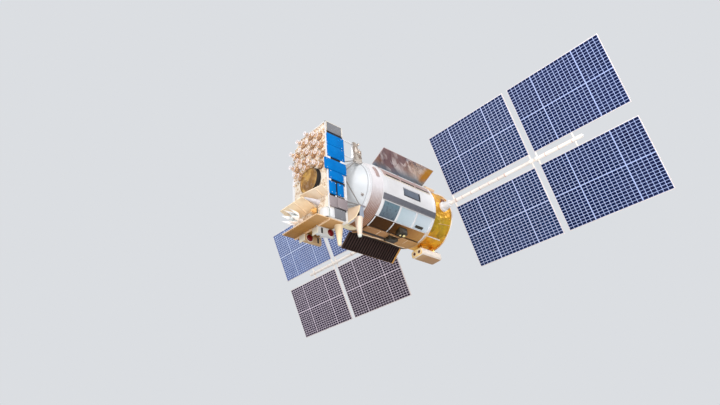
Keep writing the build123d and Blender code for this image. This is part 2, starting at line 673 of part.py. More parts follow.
def make_truss():
    """Struts, rods, thruster bracket, gussets and horn between the front ring and the module."""
    back = MODULE_BACK_X
    inside = back + STRUT_RADIUS
    edge = MODULE_HALF_WIDTH - STRUT_RADIUS
    ring = tube_x(RING_RADIUS, (RING_START, DOME_START))
    solid_body = [ring, PARTS["payload_box"][0], PARTS["front_dome"][0], PARTS["ribbed_band"][0]]

    joint = on_ring(DOME_START + NODE_AHEAD, RING_RADIUS, NODE_ANGLE)
    struts = [rod(on_ring(RING_MIDDLE, RING_RADIUS - STRUT_RADIUS, NODE_ANGLE), joint, 2 * STRUT_RADIUS)]
    struts += [rod(joint, (inside, edge, z), STRUT_RADIUS) for z in STRUT_HEIGHTS]
    for turn in (180 + CROSS_STRUT_ANGLE, -CROSS_STRUT_ANGLE):
        start = on_ring(RING_MIDDLE, RING_RADIUS - CROSS_STRUT_RADIUS, turn)
        end_y = math.copysign(CROSS_STRUT_END[0], start[1])
        end = (inside, end_y, math.copysign(CROSS_STRUT_END[1], start[2]))
        struts.append(rod(start, end, CROSS_STRUT_RADIUS))
    foot = on_ring(RING_MIDDLE, RING_RADIUS, BRACKET_ANGLE)
    near_y = foot[1] + BRACKET_Y[1]
    side = Plane(origin=(DOME_START, near_y, foot[2]), x_dir=(1, 0, 0), z_dir=(0, -1, 0))
    bracket = extrude(side * make_face(Polyline(*BRACKET_OUTLINE, close=True)), amount=BRACKET_Y[1] - BRACKET_Y[0])
    pocket = side * make_face(Polyline(*BRACKET_POCKET, close=True))
    bracket -= extrude(pocket, amount=BRACKET_POCKET_DEPTH)
    bracket += Pos(DOME_START, foot[1], foot[2]) * block(*BRACKET_BOX)
    bracket -= tube_x(DOME_RADIUS, (DOME_START, DOME_START + DOME_HEIGHT))
    thruster_x = DOME_START + THRUSTER_AHEAD
    for height in THRUSTER_HEIGHTS:
        bracket += bar_y(THRUSTER_RADIUS, [foot[1] + v for v in THRUSTER_Y], thruster_x, foot[2] + height)
    add("thruster_bracket", *bracket.solids())
    sole = (DOME_START + NODE_AHEAD - THRUSTER_RADIUS, foot[1], foot[2])
    struts += [rod(sole, (inside, edge, z), STRUT_RADIUS) for z in FOOT_STRUT_HEIGHTS]
    for strut in struts:
        for other in solid_body + PARTS["thruster_bracket"] + PARTS.get("truss_struts", []):
            strut -= other
        add("truss_struts", *strut.solids())
    for z in ROD_HEIGHTS:
        bar = rod((thruster_x, foot[1], z), (inside, foot[1] + ROD_SPREAD, z), ROD_RADIUS)
        for other in solid_body + PARTS["thruster_bracket"] + PARTS["truss_struts"]:
            bar -= other
        add("truss_rods", *bar.solids())

    low = MODULE_BOTTOM
    inner_x = joint[0] - STRUT_RADIUS
    outline = Polyline(
        (back, low + GUSSET_BACK_Z[1]), (back, low + GUSSET_BACK_Z[0]),
        (DOME_START + GUSSET_STEP[0], low + GUSSET_STEP[1]),
        (DOME_START + GUSSET_EDGE[0], low + GUSSET_EDGE[1]), (inner_x, joint[2]),
        (inner_x + 4 * STRUT_RADIUS, joint[2] - 2 * STRUT_RADIUS), close=True,
    )
    for y in (GUSSET_Y + GUSSET_THICKNESS, -GUSSET_Y):
        plane = Plane(origin=(0, y, 0), x_dir=(1, 0, 0), z_dir=(0, -1, 0))
        gusset = extrude(plane * make_face(outline), amount=GUSSET_THICKNESS)
        for other in solid_body + PARTS["truss_struts"]:
            gusset -= other
        add("gussets", *gusset.solids())
    horn_top = low + HORN_TOP
    horn = Pos(joint[0] - HORN_BEHIND, GUSSET_Y - HORN_INSET, horn_top - HORN_LENGTH / 2)
    horn *= Cone(HORN_RADII[0], HORN_RADII[1], HORN_LENGTH)
    mount_x = [DOME_START + v for v in HORN_MOUNT_X]
    horn += block(mount_x, (GUSSET_Y - HORN_MOUNT_DEPTH, GUSSET_Y), (horn_top, joint[2]))
    for other in solid_body + PARTS["truss_struts"]:
        horn -= other
    add("support_horn", horn)


def make_aft_units():
    """Rounded case on two brackets under the drum, and the dark units under the shell."""
    middle_y = sum(AFT_CASE_Y) / 2
    top = -DRUM_RADIUS - AFT_CASE_DROP
    middle_z = top - AFT_CASE_HEIGHT / 2
    start = DRUM_START + AFT_CASE_SETBACK
    roll = math.radians(AFT_CASE_ROLL)
    plane = Plane(origin=(start, middle_y, middle_z), x_dir=(0, math.cos(roll), math.sin(roll)), z_dir=(1, 0, 0))
    section = RectangleRounded(AFT_CASE_Y[1] - AFT_CASE_Y[0], AFT_CASE_HEIGHT, AFT_CASE_CORNER)
    case = extrude(plane * section, amount=AFT_CASE_LENGTH)
    for dy in (-AFT_CASE_HOLE_Y, AFT_CASE_HOLE_Y):
        hole = Cylinder(AFT_CASE_HOLE_RADIUS, AFT_CASE_HOLE_DEPTH)
        case -= plane * Pos(dy, 0, AFT_CASE_LENGTH - AFT_CASE_HOLE_DEPTH / 2) * hole
    add("aft_case", case)
    drum = PARTS["gold_drum"][0]
    post_y = (middle_y - AFT_BRACKET_DEPTH / 2, middle_y + AFT_BRACKET_DEPTH / 2)
    for share in AFT_BRACKET_SHARES:
        x = start + share * AFT_CASE_LENGTH - AFT_BRACKET_WIDTH / 2
        post = block((x, x + AFT_BRACKET_WIDTH), post_y, (middle_z, -DRUM_RADIUS + AFT_BRACKET_ROOT))
        add("aft_case_brackets", post - drum - case)

    shell = PARTS["thermal_shell"][0]
    keel = PARTS["keel_panel"][0]
    for unit in BELLY_UNITS:
        case = block(on_shell(unit.shares), unit.y, (-SHELL_RADIUS - unit.drop, -SHELL_RADIUS / 2))
        for other in [shell, keel] + PARTS["shell_bars"]:
            case -= other
        add("belly_units", *case.solids())
    floor = SHELL_RADIUS - LOUVRE_DEPTH + LOUVRE_PANEL_THICKNESS
    add("belly_units", sector(on_shell(LOUVRE_BOX_X), LOUVRE_BOX_ANGLES, floor, floor + LOUVRE_BOX_PROUD))
    unit_x = (DRUM_START + DRUM_UNIT_X[0], DRUM_START + DRUM_UNIT_X[1])
    add("drum_unit", sector(unit_x, DRUM_UNIT_ANGLES, DRUM_RADIUS, DRUM_RADIUS + DRUM_UNIT_PROUD))


def bar_u(u, radius, v=0, n=0):
    """Round bar along the boom in the wing frame."""
    return Pos((u[0] + u[1]) / 2, v, n) * Rot(0, 90, 0) * Cylinder(radius, u[1] - u[0])


def bar_v(u, v, radius, n=0):
    """Round bar across the boom in the wing frame."""
    return Pos(u, (v[0] + v[1]) / 2, n) * Rot(90, 0, 0) * Cylinder(radius, v[1] - v[0])


def panel_pair(start, length):
    """Two panel frames and their cell sheets, one on each side of the boom, in the wing frame."""
    frames = []
    sheets = []
    frame_thickness = PANEL_THICKNESS - CELL_SHEET_THICKNESS
    sheet_size = (length - 2 * CELL_SHEET_MARGIN, PANEL_HEIGHT - 2 * CELL_SHEET_MARGIN, CELL_SHEET_THICKNESS)
    for sign in (1, -1):
        v = sign * (PANEL_INNER_GAP + PANEL_HEIGHT / 2)
        u = start + length / 2
        frames.append(Pos(u, v, -CELL_SHEET_THICKNESS / 2) * Box(length, PANEL_HEIGHT, frame_thickness))
        sheets.append(Pos(u, v, frame_thickness / 2) * Box(*sheet_size))
    return frames, sheets


def inner_boom():
    """Shaft, rotor collar, boom, joint collars, hinge lug and cross arms of the inner half."""
    rotor = HOUSING_END + ROTOR_GAP
    hub = INNER_END - COLLAR_RADIUS
    shoulder = FOLD_AXIS_U - HINGE_SHOULDER
    # from, to, radius
    steps = [
        (HOUSING_END - SHAFT_DEPTH + SHAFT_END_GAP, rotor, SHAFT_RADIUS),
        (rotor, rotor + ROTOR_COLLAR, COLLAR_RADIUS),
        (rotor + ROTOR_COLLAR, hub, BOOM_RADIUS),
        (INNER_START + 57, INNER_START + 87, COLLAR_RADIUS - 2),
        (INNER_END - 668, INNER_END - 640, BOOM_RADIUS + 5),
        (INNER_END - 60, INNER_END - 42, COLLAR_RADIUS),
        (hub, shoulder, OUTER_BOOM_RADIUS - 2),
    ]
    boom = bar_u(steps[0][:2], steps[0][2])
    for u0, u1, radius in steps[1:]:
        boom += bar_u((u0, u1), radius)
    root = shoulder - 60
    lug = Pos((root + FOLD_AXIS_U) / 2, 0, FOLD_AXIS_N / 2) * Box(FOLD_AXIS_U - root, LUG_WIDTH, -FOLD_AXIS_N)
    lug += bar_v(FOLD_AXIS_U, (-LUG_WIDTH / 2, LUG_WIDTH / 2), KNUCKLE_RADIUS, FOLD_AXIS_N)
    lug -= bar_v(FOLD_AXIS_U, (-LUG_WIDTH, LUG_WIDTH), PIN_RADIUS + PIN_CLEARANCE, FOLD_AXIS_N)
    beyond = FOLD_AXIS_U + KNUCKLE_RADIUS
    open_end = Box(beyond - shoulder, 2 * LUG_WIDTH, 2 * (OUTER_BOOM_RADIUS - 2))
    lug -= Pos((shoulder + beyond) / 2, 0, 0) * open_end
    boom += lug
    for u in (INNER_START + ARM_RADIUS, INNER_END - ARM_RADIUS):
        boom += bar_v(u, (-PANEL_INNER_GAP, PANEL_INNER_GAP), ARM_RADIUS, -CELL_SHEET_THICKNESS / 2)
    return boom


def outer_boom():
    """Boom, end rod, hinge cheeks with their pin and cross arms of the outer half."""
    collar = FOLD_AXIS_U + HINGE_COLLAR
    end = OUTER_ARM_U + END_ROD_START
    boom = bar_u((collar, collar + 40), COLLAR_RADIUS)
    boom += bar_u((collar + 40, end), OUTER_BOOM_RADIUS)
    boom += bar_u((end, end + END_ROD_LENGTH), END_ROD_RADIUS)
    reach = collar + 39 - FOLD_AXIS_U
    inner_face = LUG_WIDTH / 2 + CHEEK_GAP
    middle = inner_face + CHEEK_WIDTH / 2
    for sign in (1, -1):
        height = -FOLD_AXIS_N - KNUCKLE_RADIUS
        cheek = Pos(FOLD_AXIS_U + reach / 2, sign * middle, (FOLD_AXIS_N - KNUCKLE_RADIUS) / 2)
        cheek *= Box(reach, CHEEK_WIDTH, height)
        cheek += bar_v(FOLD_AXIS_U, sorted((sign * inner_face, sign * (inner_face + CHEEK_WIDTH))),
                       KNUCKLE_RADIUS, FOLD_AXIS_N)
        swing = Box(HINGE_SWING[0] + HINGE_SWING[1], 4 * COLLAR_RADIUS, 2 * COLLAR_RADIUS - 2 * CHEEK_GAP)
        cheek -= Pos(FOLD_AXIS_U + (HINGE_SWING[1] - HINGE_SWING[0]) / 2, 0, 0) * swing
        boom += cheek
    pin_end = inner_face + CHEEK_WIDTH
    boom += bar_v(FOLD_AXIS_U, (-pin_end, pin_end), PIN_RADIUS, FOLD_AXIS_N)
    for u in (OUTER_START + ARM_RADIUS, OUTER_ARM_U):
        boom += bar_v(u, (-PANEL_INNER_GAP, PANEL_INNER_GAP), ARM_RADIUS, -CELL_SHEET_THICKNESS / 2)
    return boom


def make_wing(name, side):
    """One wing: drive housing on the drum, inner half with the shaft and the folding outer half."""
    root = DRUM_RADIUS - HOUSING_ROOT
    foot_end = HOUSING_END - HOUSING_LENGTH + HOUSING_FOOT
    housing = bar_y(HOUSING_RADIUS, (root, HOUSING_END))
    housing += bar_y(HOUSING_RADIUS + HOUSING_FOOT, (root, foot_end))
    housing -= bar_y(SHAFT_RADIUS + SHAFT_CLEARANCE, (HOUSING_END - SHAFT_DEPTH, HOUSING_END + PAST))
    if side < 0:
        housing = Rot(0, 0, 180) * housing
    add(f"drive_housing_{name}", Pos(WING_AXIS_X, 0, WING_AXIS_Z) * housing - PARTS["gold_drum"][0])

    turn = math.radians(WING_TILT)
    normal = (math.cos(turn), 0, -math.sin(turn))
    plane = Plane(origin=(WING_AXIS_X, 0, WING_AXIS_Z), x_dir=(0, side, 0), z_dir=normal)
    # half, boom, start and length of its panels
    halves = [
        ("inner", inner_boom(), INNER_START, INNER_LENGTH),
        ("outer", outer_boom(), OUTER_START, OUTER_LENGTH),
    ]
    for half, boom, start, length in halves:
        frames, sheets = panel_pair(start, length)
        add(f"{half}_boom_{name}", plane * boom)
        add(f"{half}_panels_{name}", *[plane * frame for frame in frames])
        add(f"{half}_cells_{name}", *[plane * sheet for sheet in sheets])


def write_parts():
    """Writes one STEP file per sub-part."""
    os.makedirs("parts", exist_ok=True)
    for name, solids in PARTS.items():
        shape = solids[0] if len(solids) == 1 else Compound(children=list(solids))
        export_step(shape, f"parts/{name}.step")


make_adapter()
make_body()
make_shell_fittings()
make_covers()
make_payload()
make_front()
make_deck()
make_truss()
make_aft_units()
make_wing("near", 1)
make_wing("far", -1)
write_parts()
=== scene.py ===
"""Navigation satellite: finishes, fine parts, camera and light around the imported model.

Frame, in metres: the origin is the centre of the launch adapter's mating face at the aft end,
+X runs along the body to the antenna face, +Y along the near wing and +Z up. Angles round the
body are in degrees, from +Z towards +Y.
"""

from __future__ import annotations

import logging
import math
from dataclasses import dataclass
from enum import Enum
from typing import Any, Callable, Iterable, Optional, Sequence

import bmesh
import bpy
from mathutils import Matrix, Vector, noise

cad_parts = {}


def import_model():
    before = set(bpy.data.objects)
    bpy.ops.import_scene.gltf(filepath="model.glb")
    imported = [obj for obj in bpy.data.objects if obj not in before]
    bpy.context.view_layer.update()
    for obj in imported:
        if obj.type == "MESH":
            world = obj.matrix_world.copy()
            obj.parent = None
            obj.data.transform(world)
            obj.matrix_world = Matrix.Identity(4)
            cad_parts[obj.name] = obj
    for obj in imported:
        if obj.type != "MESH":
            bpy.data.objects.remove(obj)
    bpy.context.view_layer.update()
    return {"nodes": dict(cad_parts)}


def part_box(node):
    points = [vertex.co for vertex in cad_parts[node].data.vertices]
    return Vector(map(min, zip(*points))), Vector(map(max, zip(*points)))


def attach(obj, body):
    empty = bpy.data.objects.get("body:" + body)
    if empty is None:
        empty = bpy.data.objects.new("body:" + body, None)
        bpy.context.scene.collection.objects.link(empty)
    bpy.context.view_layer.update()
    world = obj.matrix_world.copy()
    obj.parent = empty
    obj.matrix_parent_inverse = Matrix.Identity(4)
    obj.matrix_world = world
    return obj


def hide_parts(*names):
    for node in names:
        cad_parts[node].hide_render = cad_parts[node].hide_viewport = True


frame: dict[str, Any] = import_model()

log = logging.getLogger("satellite")

Colour = tuple[float, float, float]
Point = tuple[float, float, float]
Spot = tuple[Sequence[float], Sequence[float]]
Socket = bpy.types.NodeSocket


class Body(Enum):
    """The CAD bodies that pieces ride on."""

    BUS = "bus"
    NEAR_INNER = "wing_near_inner"
    NEAR_OUTER = "wing_near_outer"
    FAR_INNER = "wing_far_inner"
    FAR_OUTER = "wing_far_outer"


@dataclass(frozen=True)
class Stations:
    """Places along the body axis and radii, as in the part's source."""

    drum_start: float = 0.106
    shell_start: float = 0.693
    band_start: float = 2.324
    ring_start: float = 2.596
    dome_start: float = 2.642
    module_back: float = 3.200
    face_back: float = 3.642
    face: float = 3.660
    drum_radius: float = 0.728
    shell_radius: float = 0.745
    hoop_radius: float = 0.751
    ring_radius: float = 0.702
    dome_radius: float = 0.676
    dome_height: float = 0.300
    module_half: float = 0.550
    module_top: float = 1.068
    module_bottom: float = -1.108
    deck_bottom: float = -1.126


AT = Stations()
SPHERE = (AT.dome_radius ** 2 + AT.dome_height ** 2) / (2 * AT.dome_height)


def round_body(x: float, radius: float, angle: float) -> Vector:
    """Gives the point at a station, radius and angle round the body axis."""
    turn = math.radians(angle)
    return Vector((x, radius * math.sin(turn), radius * math.cos(turn)))


def placement(origin: Sequence[float], x_dir: Sequence[float], z_dir: Sequence[float]) -> Matrix:
    """Makes the matrix that puts a local frame in the row frame.

    Args:
        origin: where the local origin goes.
        x_dir: direction of local X.
        z_dir: direction of local Z.

    Returns:
        The 4 by 4 matrix.
    """
    x = Vector(x_dir).normalized()
    z = Vector(z_dir)
    z = (z - x * z.dot(x)).normalized()
    matrix = Matrix((x, z.cross(x), z)).transposed().to_4x4()
    matrix.translation = Vector(origin)
    return matrix


def facing_front(x: float, y: float, z: float) -> Matrix:
    """Gives the frame of a turned form that stands out of the antenna face, with local Z along +X."""
    return placement((x, y, z), (0, 1, 0), (1, 0, 0))


def along(start: Sequence[float], end: Sequence[float]) -> tuple[Matrix, float]:
    """Gives the frame at a start point that looks at an end point.

    Args:
        start: origin of the frame.
        end: point on its local Z axis.

    Returns:
        The matrix, and the distance between the points.
    """
    run = Vector(end) - Vector(start)
    side = Vector((0.0, 0.0, 1.0)) if abs(run.normalized().z) < 0.9 else Vector((1.0, 0.0, 0.0))
    return placement(start, side.cross(run), run), run.length


def crumple(point: Vector, size: float, octaves: int = 3) -> float:
    """Gives the height of crumpled foil at a point.

    Args:
        point: where on the foil.
        size: width of the largest folds.
        octaves: how many sizes of folds lie on each other.

    Returns:
        The height, from about 0 to 1.
    """
    height, weight, total = 0.0, 1.0, 0.0
    for octave in range(octaves):
        distances, _ = noise.voronoi(point * (2.1 ** octave / size))
        height += weight * distances[0]
        total += weight
        weight *= 0.5
    return height / total


class Graph:
    """Adds and links the shader nodes of one material."""

    def __init__(self, name: str) -> None:
        """Starts a material with a Principled shader and object coordinates.

        Args:
            name: name of the material.
        """
        self.material = bpy.data.materials.new(name)
        self.material.use_nodes = True
        self.tree = self.material.node_tree
        self.tree.nodes.clear()
        output = self.tree.nodes.new("ShaderNodeOutputMaterial")
        self.shader = self.tree.nodes.new("ShaderNodeBsdfPrincipled")
        self.tree.links.new(self.shader.outputs[0], output.inputs["Surface"])
        self.where: Socket = self.tree.nodes.new("ShaderNodeTexCoord").outputs["Object"]

    def put(self, target: Socket, value: Any) -> None:
        """Links a socket to the target, or sets a plain value on it.

        Args:
            target: the input socket.
            value: an output socket, a value, a colour of three parts, or None for no change.
        """
        if isinstance(value, bpy.types.NodeSocket):
            self.tree.links.new(value, target)
        elif isinstance(value, tuple) and len(value) == 3 and len(target.default_value) == 4:
            target.default_value = (*value, 1.0)
        elif value is not None:
            target.default_value = value

    def set(self, **values: Any) -> None:
        """Sets or links inputs of the shader, with underscores for the spaces in their names."""
        for name, value in values.items():
            self.put(self.shader.inputs[name.replace("_", " ")], value)

    def stretched(self, scale: Point, turn: Point = (0, 0, 0)) -> Socket:
        """Gives object coordinates turned, and then scaled on each axis.

        Args:
            scale: factor on each axis.
            turn: angles in degrees.

        Returns:
            The vector's socket.
        """
        node = self.tree.nodes.new("ShaderNodeMapping")
        node.vector_type = "TEXTURE"
        node.inputs["Scale"].default_value = [1 / value for value in scale]
        node.inputs["Rotation"].default_value = [math.radians(v) for v in turn]
        self.put(node.inputs["Vector"], self.where)
        return node.outputs[0]

    def noise(self, scale: float, detail: float = 3.0, where: Optional[Socket] = None) -> Socket:
        """Adds a noise texture.

        Args:
            scale: waves to the metre.
            detail: number of finer layers.
            where: coordinates, or None for the object's.

        Returns:
            Its value.
        """
        node = self.tree.nodes.new("ShaderNodeTexNoise")
        node.inputs["Scale"].default_value = scale
        node.inputs["Detail"].default_value = detail
        self.put(node.inputs["Vector"], where or self.where)
        return node.outputs[0]

    def cells(self, scale: float, where: Optional[Socket] = None) -> tuple[Socket, Socket]:
        """Adds a Voronoi texture.

        Args:
            scale: cells to the metre.
            where: coordinates, or None for the object's.

        Returns:
            Its distance and its colour.
        """
        node = self.tree.nodes.new("ShaderNodeTexVoronoi")
        node.inputs["Scale"].default_value = scale
        self.put(node.inputs["Vector"], where or self.where)
        return node.outputs["Distance"], node.outputs["Color"]

    def calc(self, kind: str, first: Any, second: Any) -> Socket:
        """Adds a math node.

        Args:
            kind: the operation.
            first: socket or number.
            second: socket or number.

        Returns:
            Its result.
        """
        node = self.tree.nodes.new("ShaderNodeMath")
        node.operation = kind
        self.put(node.inputs[0], first)
        self.put(node.inputs[1], second)
        return node.outputs[0]

    def axis(self, name: str, where: Optional[Socket] = None) -> Socket:
        """Gives one coordinate.

        Args:
            name: X, Y or Z.
            where: the vector, or None for the object's coordinates.

        Returns:
            The coordinate's socket.
        """
        node = self.tree.nodes.new("ShaderNodeSeparateXYZ")
        self.put(node.inputs[0], where or self.where)
        return node.outputs[name]

    def steps(self, factor: Socket, stops: Sequence[tuple[float, Colour]]) -> Socket:
        """Adds a colour ramp.

        Args:
            factor: what picks the colour.
            stops: places from 0 to 1 and their colours.

        Returns:
            The colour.
        """
        node = self.tree.nodes.new("ShaderNodeValToRGB")
        elements = node.color_ramp.elements
        while len(elements) < len(stops):
            elements.new(0.5)
        for element, (place, colour) in zip(elements, stops):
            element.position = place
            element.color = (*colour, 1.0)
        self.put(node.inputs[0], factor)
        return node.outputs[0]

    def fit(self, value: Socket, low: float, high: float, to_low: float = 0.0, to_high: float = 1.0) -> Socket:
        """Moves a value from one range to another.

        Args:
            value: the value.
            low: where the first range starts.
            high: where it ends.
            to_low: where the second range starts.
            to_high: where it ends.

        Returns:
            The value, kept inside the second range.
        """
        node = self.tree.nodes.new("ShaderNodeMapRange")
        for target, number in zip(node.inputs[1:5], (low, high, to_low, to_high)):
            target.default_value = number
        self.put(node.inputs[0], value)
        return node.outputs[0]

    def mix(self, factor: Any, first: Any, second: Any) -> Socket:
        """Mixes two colours.

        Args:
            factor: share of the second.
            first: colour or socket.
            second: colour or socket.

        Returns:
            The mixed colour.
        """
        node = self.tree.nodes.new("ShaderNodeMix")
        node.data_type = "RGBA"
        self.put(node.inputs[0], factor)
        self.put(node.inputs[6], first)
        self.put(node.inputs[7], second)
        return node.outputs[2]

    def bump(self, height: Socket, strength: float, distance: float, below: Optional[Socket] = None) -> Socket:
        """Adds a bump.

        Args:
            height: its height.
            strength: how much of it shows.
            distance: metres for a height of 1.
            below: another normal that it lies on.

        Returns:
            The normal.
        """
        node = self.tree.nodes.new("ShaderNodeBump")
        node.inputs["Strength"].default_value = strength
        node.inputs["Distance"].default_value = distance
        self.put(node.inputs["Height"], height)
        if below:
            self.put(node.inputs["Normal"], below)
        return node.outputs[0]


class Finish:
    """A surface finish, which makes its material once."""

    name: str
    made: dict[str, bpy.types.Material] = {}

    def paint(self, graph: Graph) -> None:
        """Sets the shader's inputs on a graph."""
        raise NotImplementedError

    def material(self) -> bpy.types.Material:
        """Gives the material, made on first use.

        Returns:
            The material.
        """
        if self.name not in Finish.made:
            graph = Graph(self.name)
            self.paint(graph)
            Finish.made[self.name] = graph.material
        return Finish.made[self.name]


@dataclass(frozen=True)
class Coating(Finish):
    """Sprayed coating or painted metal, with soft blotches and a fine grain."""

    name: str
    colour: Colour
    shade: Colour
    roughness: float = 0.5
    specular: float = 0.5
    blotch: float = 3.0
    grain: float = 260.0
    relief: float = 0.0006
    coat: float = 0.0

    def paint(self, graph: Graph) -> None:
        """Mixes the two colours by noise and adds the grain.

        Args:
            graph: the material's nodes.
        """
        blotches = graph.noise(self.blotch, 5.0)
        fine = graph.noise(self.grain, 2.0)
        amount = graph.calc("ADD", blotches, graph.calc("MULTIPLY", fine, 0.25))
        graph.set(
            Base_Color=graph.mix(graph.fit(amount, 0.42, 0.85), self.colour, self.shade),
            Roughness=graph.fit(blotches, 0.3, 0.7, self.roughness - 0.07, self.roughness + 0.09),
            Specular_IOR_Level=self.specular, Coat_Weight=self.coat, Normal=graph.bump(fine, 0.5, self.relief),
        )


@dataclass(frozen=True)
class Zone:
    """A colour that takes over along an axis, from one place to another."""

    axis: str
    start: float
    end: float
    colour: Colour
    share: float = 1.0


@dataclass(frozen=True)
class Foil(Finish):
    """Crinkled metal foil of several tints, with sharp folds at two scales."""

    name: str
    tints: tuple[tuple[float, Colour], ...]
    fold: float = 9.0
    relief: float = 0.02
    roughness: float = 0.24
    metallic: float = 1.0
    zones: tuple[Zone, ...] = ()
    stretch: Point = (1.0, 1.0, 1.0)
    turn: Point = (0.0, 0.0, 0.0)

    def paint(self, graph: Graph) -> None:
        """Lays folds as bump and tints them by noise and by zones.

        Args:
            graph: the material's nodes.
        """
        where = graph.stretched(self.stretch, self.turn)
        wide, hue = graph.cells(self.fold, where)
        narrow, _ = graph.cells(self.fold * 2.7, where)
        wander = graph.noise(self.fold * 0.35, 4.0, where)
        folds = graph.calc("ADD", wide, graph.calc("MULTIPLY", narrow, 0.4))
        pick = graph.calc("MULTIPLY", graph.axis("X", hue), 0.45)
        tint = graph.steps(graph.calc("ADD", pick, graph.fit(wander, 0.3, 0.7, 0.0, 0.55)), self.tints)
        for zone in self.zones:
            edge = graph.calc("ADD", graph.axis(zone.axis), graph.fit(wander, 0.3, 0.7, -0.06, 0.06))
            tint = graph.mix(graph.fit(edge, zone.start, zone.end, 0.0, zone.share), tint, zone.colour)
        graph.set(
            Base_Color=tint, Metallic=self.metallic,
            Roughness=graph.fit(wander, 0.3, 0.7, self.roughness - 0.06, self.roughness + 0.12),
            Normal=graph.bump(folds, 0.8, self.relief),
        )


@dataclass(frozen=True)
class Blanket(Finish):
    """Thermal blanket cloth: a weave, soft puckers and a little grime."""

    name: str
    colour: Colour
    shade: Colour
    roughness: float = 0.6
    pucker: float = 7.0
    relief: float = 0.006
    weave: float = 420.0

    def paint(self, graph: Graph) -> None:
        """Adds puckers and a fine weave as bump, and grime as colour.

        Args:
            graph: the material's nodes.
        """
        soft = graph.noise(self.pucker, 4.0)
        grime = graph.noise(1.7, 6.0)
        graph.set(
            Base_Color=graph.mix(graph.fit(grime, 0.45, 0.8), self.colour, self.shade),
            Roughness=graph.fit(soft, 0.3, 0.7, self.roughness - 0.08, self.roughness + 0.08),
            Normal=graph.bump(graph.noise(self.weave, 1.0), 0.3, 0.0005, graph.bump(soft, 0.5, self.relief)),
            Sheen_Weight=0.1,
        )


@dataclass(frozen=True)
class Gradient(Finish):
    """A coating whose colour runs along one axis."""

    name: str
    axis: str
    stops: tuple[tuple[float, Colour], ...]
    roughness: float = 0.45
    streak: float = 14.0
    specular: float = 0.5

    def paint(self, graph: Graph) -> None:
        """Spreads the stops, given in metres, over the axis.

        Args:
            graph: the material's nodes.
        """
        low, high = self.stops[0][0], self.stops[-1][0]
        shares = [((place - low) / (high - low), colour) for place, colour in self.stops]
        streaks = graph.noise(self.streak, 4.0)
        place = graph.calc("ADD", graph.axis(self.axis), graph.fit(streaks, 0.3, 0.7, -0.04, 0.04))
        graph.set(
            Base_Color=graph.steps(graph.fit(place, low, high), shares),
            Roughness=graph.fit(streaks, 0.3, 0.7, self.roughness - 0.08, self.roughness + 0.1),
            Specular_IOR_Level=self.specular, Normal=graph.bump(graph.noise(90.0, 2.0), 0.3, 0.001),
        )


@dataclass(frozen=True)
class CellGlass(Finish):
    """Solar cells under cover glass, of one tint on the upper panels and one on the lower ones."""

    name: str
    upper: tuple[Colour, Colour]
    lower: tuple[Colour, Colour]
    line: Colour
    tilt: float = 21.9

    def paint(self, graph: Graph) -> None:
        """Varies the tint from cell to cell and draws the collector lines across the boom.

        Args:
            graph: the material's nodes.
        """
        flat = graph.stretched((1.0, 1.0, 1.0), (0.0, self.tilt, 0.0))
        patches = graph.noise(2.6, 3.0, flat)
        _, hue = graph.cells(11.0, flat)
        pick = graph.calc("ADD", graph.calc("MULTIPLY", graph.axis("X", hue), 0.45),
                          graph.fit(patches, 0.3, 0.7, 0.0, 0.55))
        lines = graph.tree.nodes.new("ShaderNodeTexWave")
        lines.bands_direction = "Y"
        lines.inputs["Scale"].default_value = 78.0
        graph.put(lines.inputs["Vector"], flat)
        # On the far wing, the lighter and bluer upper tint is painted sheen.
        high = graph.fit(graph.axis("Z"), 0.0, 0.09)
        tint = graph.mix(high, graph.mix(pick, *self.lower), graph.mix(pick, *self.upper))
        graph.set(
            Base_Color=graph.mix(graph.fit(lines.outputs["Fac"], 0.95, 1.0, 0.0, 0.22), tint, self.line),
            Roughness=graph.fit(patches, 0.3, 0.7, 0.18, 0.32), Specular_IOR_Level=0.12,
        )


@dataclass(frozen=True)
class Machined(Finish):
    """Turned or milled metal with fine tool lines."""

    name: str
    colour: Colour
    roughness: float = 0.32

    def paint(self, graph: Graph) -> None:
        """Draws the tool lines as stretched noise.

        Args:
            graph: the material's nodes.
        """
        lines = graph.noise(60.0, 3.0, graph.stretched((12.0, 1.0, 1.0)))
        dark = tuple(0.72 * value for value in self.colour)
        graph.set(
            Base_Color=graph.mix(graph.fit(lines, 0.35, 0.7), self.colour, dark), Metallic=1.0,
            Roughness=graph.fit(lines, 0.3, 0.7, self.roughness - 0.1, self.roughness + 0.12),
            Normal=graph.bump(lines, 0.25, 0.0008),
        )


WHITE = Coating("white_paint", (0.77, 0.765, 0.775), (0.64, 0.635, 0.65), 0.48)
COOL_WHITE = Coating("dome_white", (0.62, 0.64, 0.66), (0.52, 0.545, 0.57), 0.45, blotch=2.2)
SHELL_WHITE = Blanket("shell_blanket", (0.74, 0.73, 0.735), (0.60, 0.585, 0.585), 0.58, 3.5, 0.004)
CREAM = Coating("cream_paint", (0.84, 0.70, 0.52), (0.74, 0.56, 0.37))
PALE_CREAM = Coating("pale_cream", (0.86, 0.79, 0.69), (0.74, 0.64, 0.52))
FACE_CREAM = Foil("face_foil", ((0.10, (0.82, 0.72, 0.59)), (0.42, (0.80, 0.71, 0.60)), (0.54, (0.58, 0.40, 0.23)),
                                (0.63, (0.82, 0.71, 0.59)), (0.82, (0.44, 0.27, 0.14)), (0.90, (0.82, 0.72, 0.62))),
                  19.0, 0.005, 0.55, 0.05)
BLUE = Coating("radiator_blue", (0.0, 0.165, 0.50), (0.0, 0.13, 0.43), 0.7, 0.06, 5.0)
GREY = Coating("grey_paint", (0.20, 0.20, 0.215), (0.16, 0.16, 0.175), specular=0.25)
MAUVE = Coating("mauve_grey", (0.30, 0.255, 0.26), (0.24, 0.195, 0.20), specular=0.25)
BEAM_GREY = Gradient("beam_grey", "Z", ((-0.36, (0.085, 0.088, 0.105)), (-0.28, (0.130, 0.130, 0.150)),
                                        (-0.2, (0.105, 0.110, 0.130))))
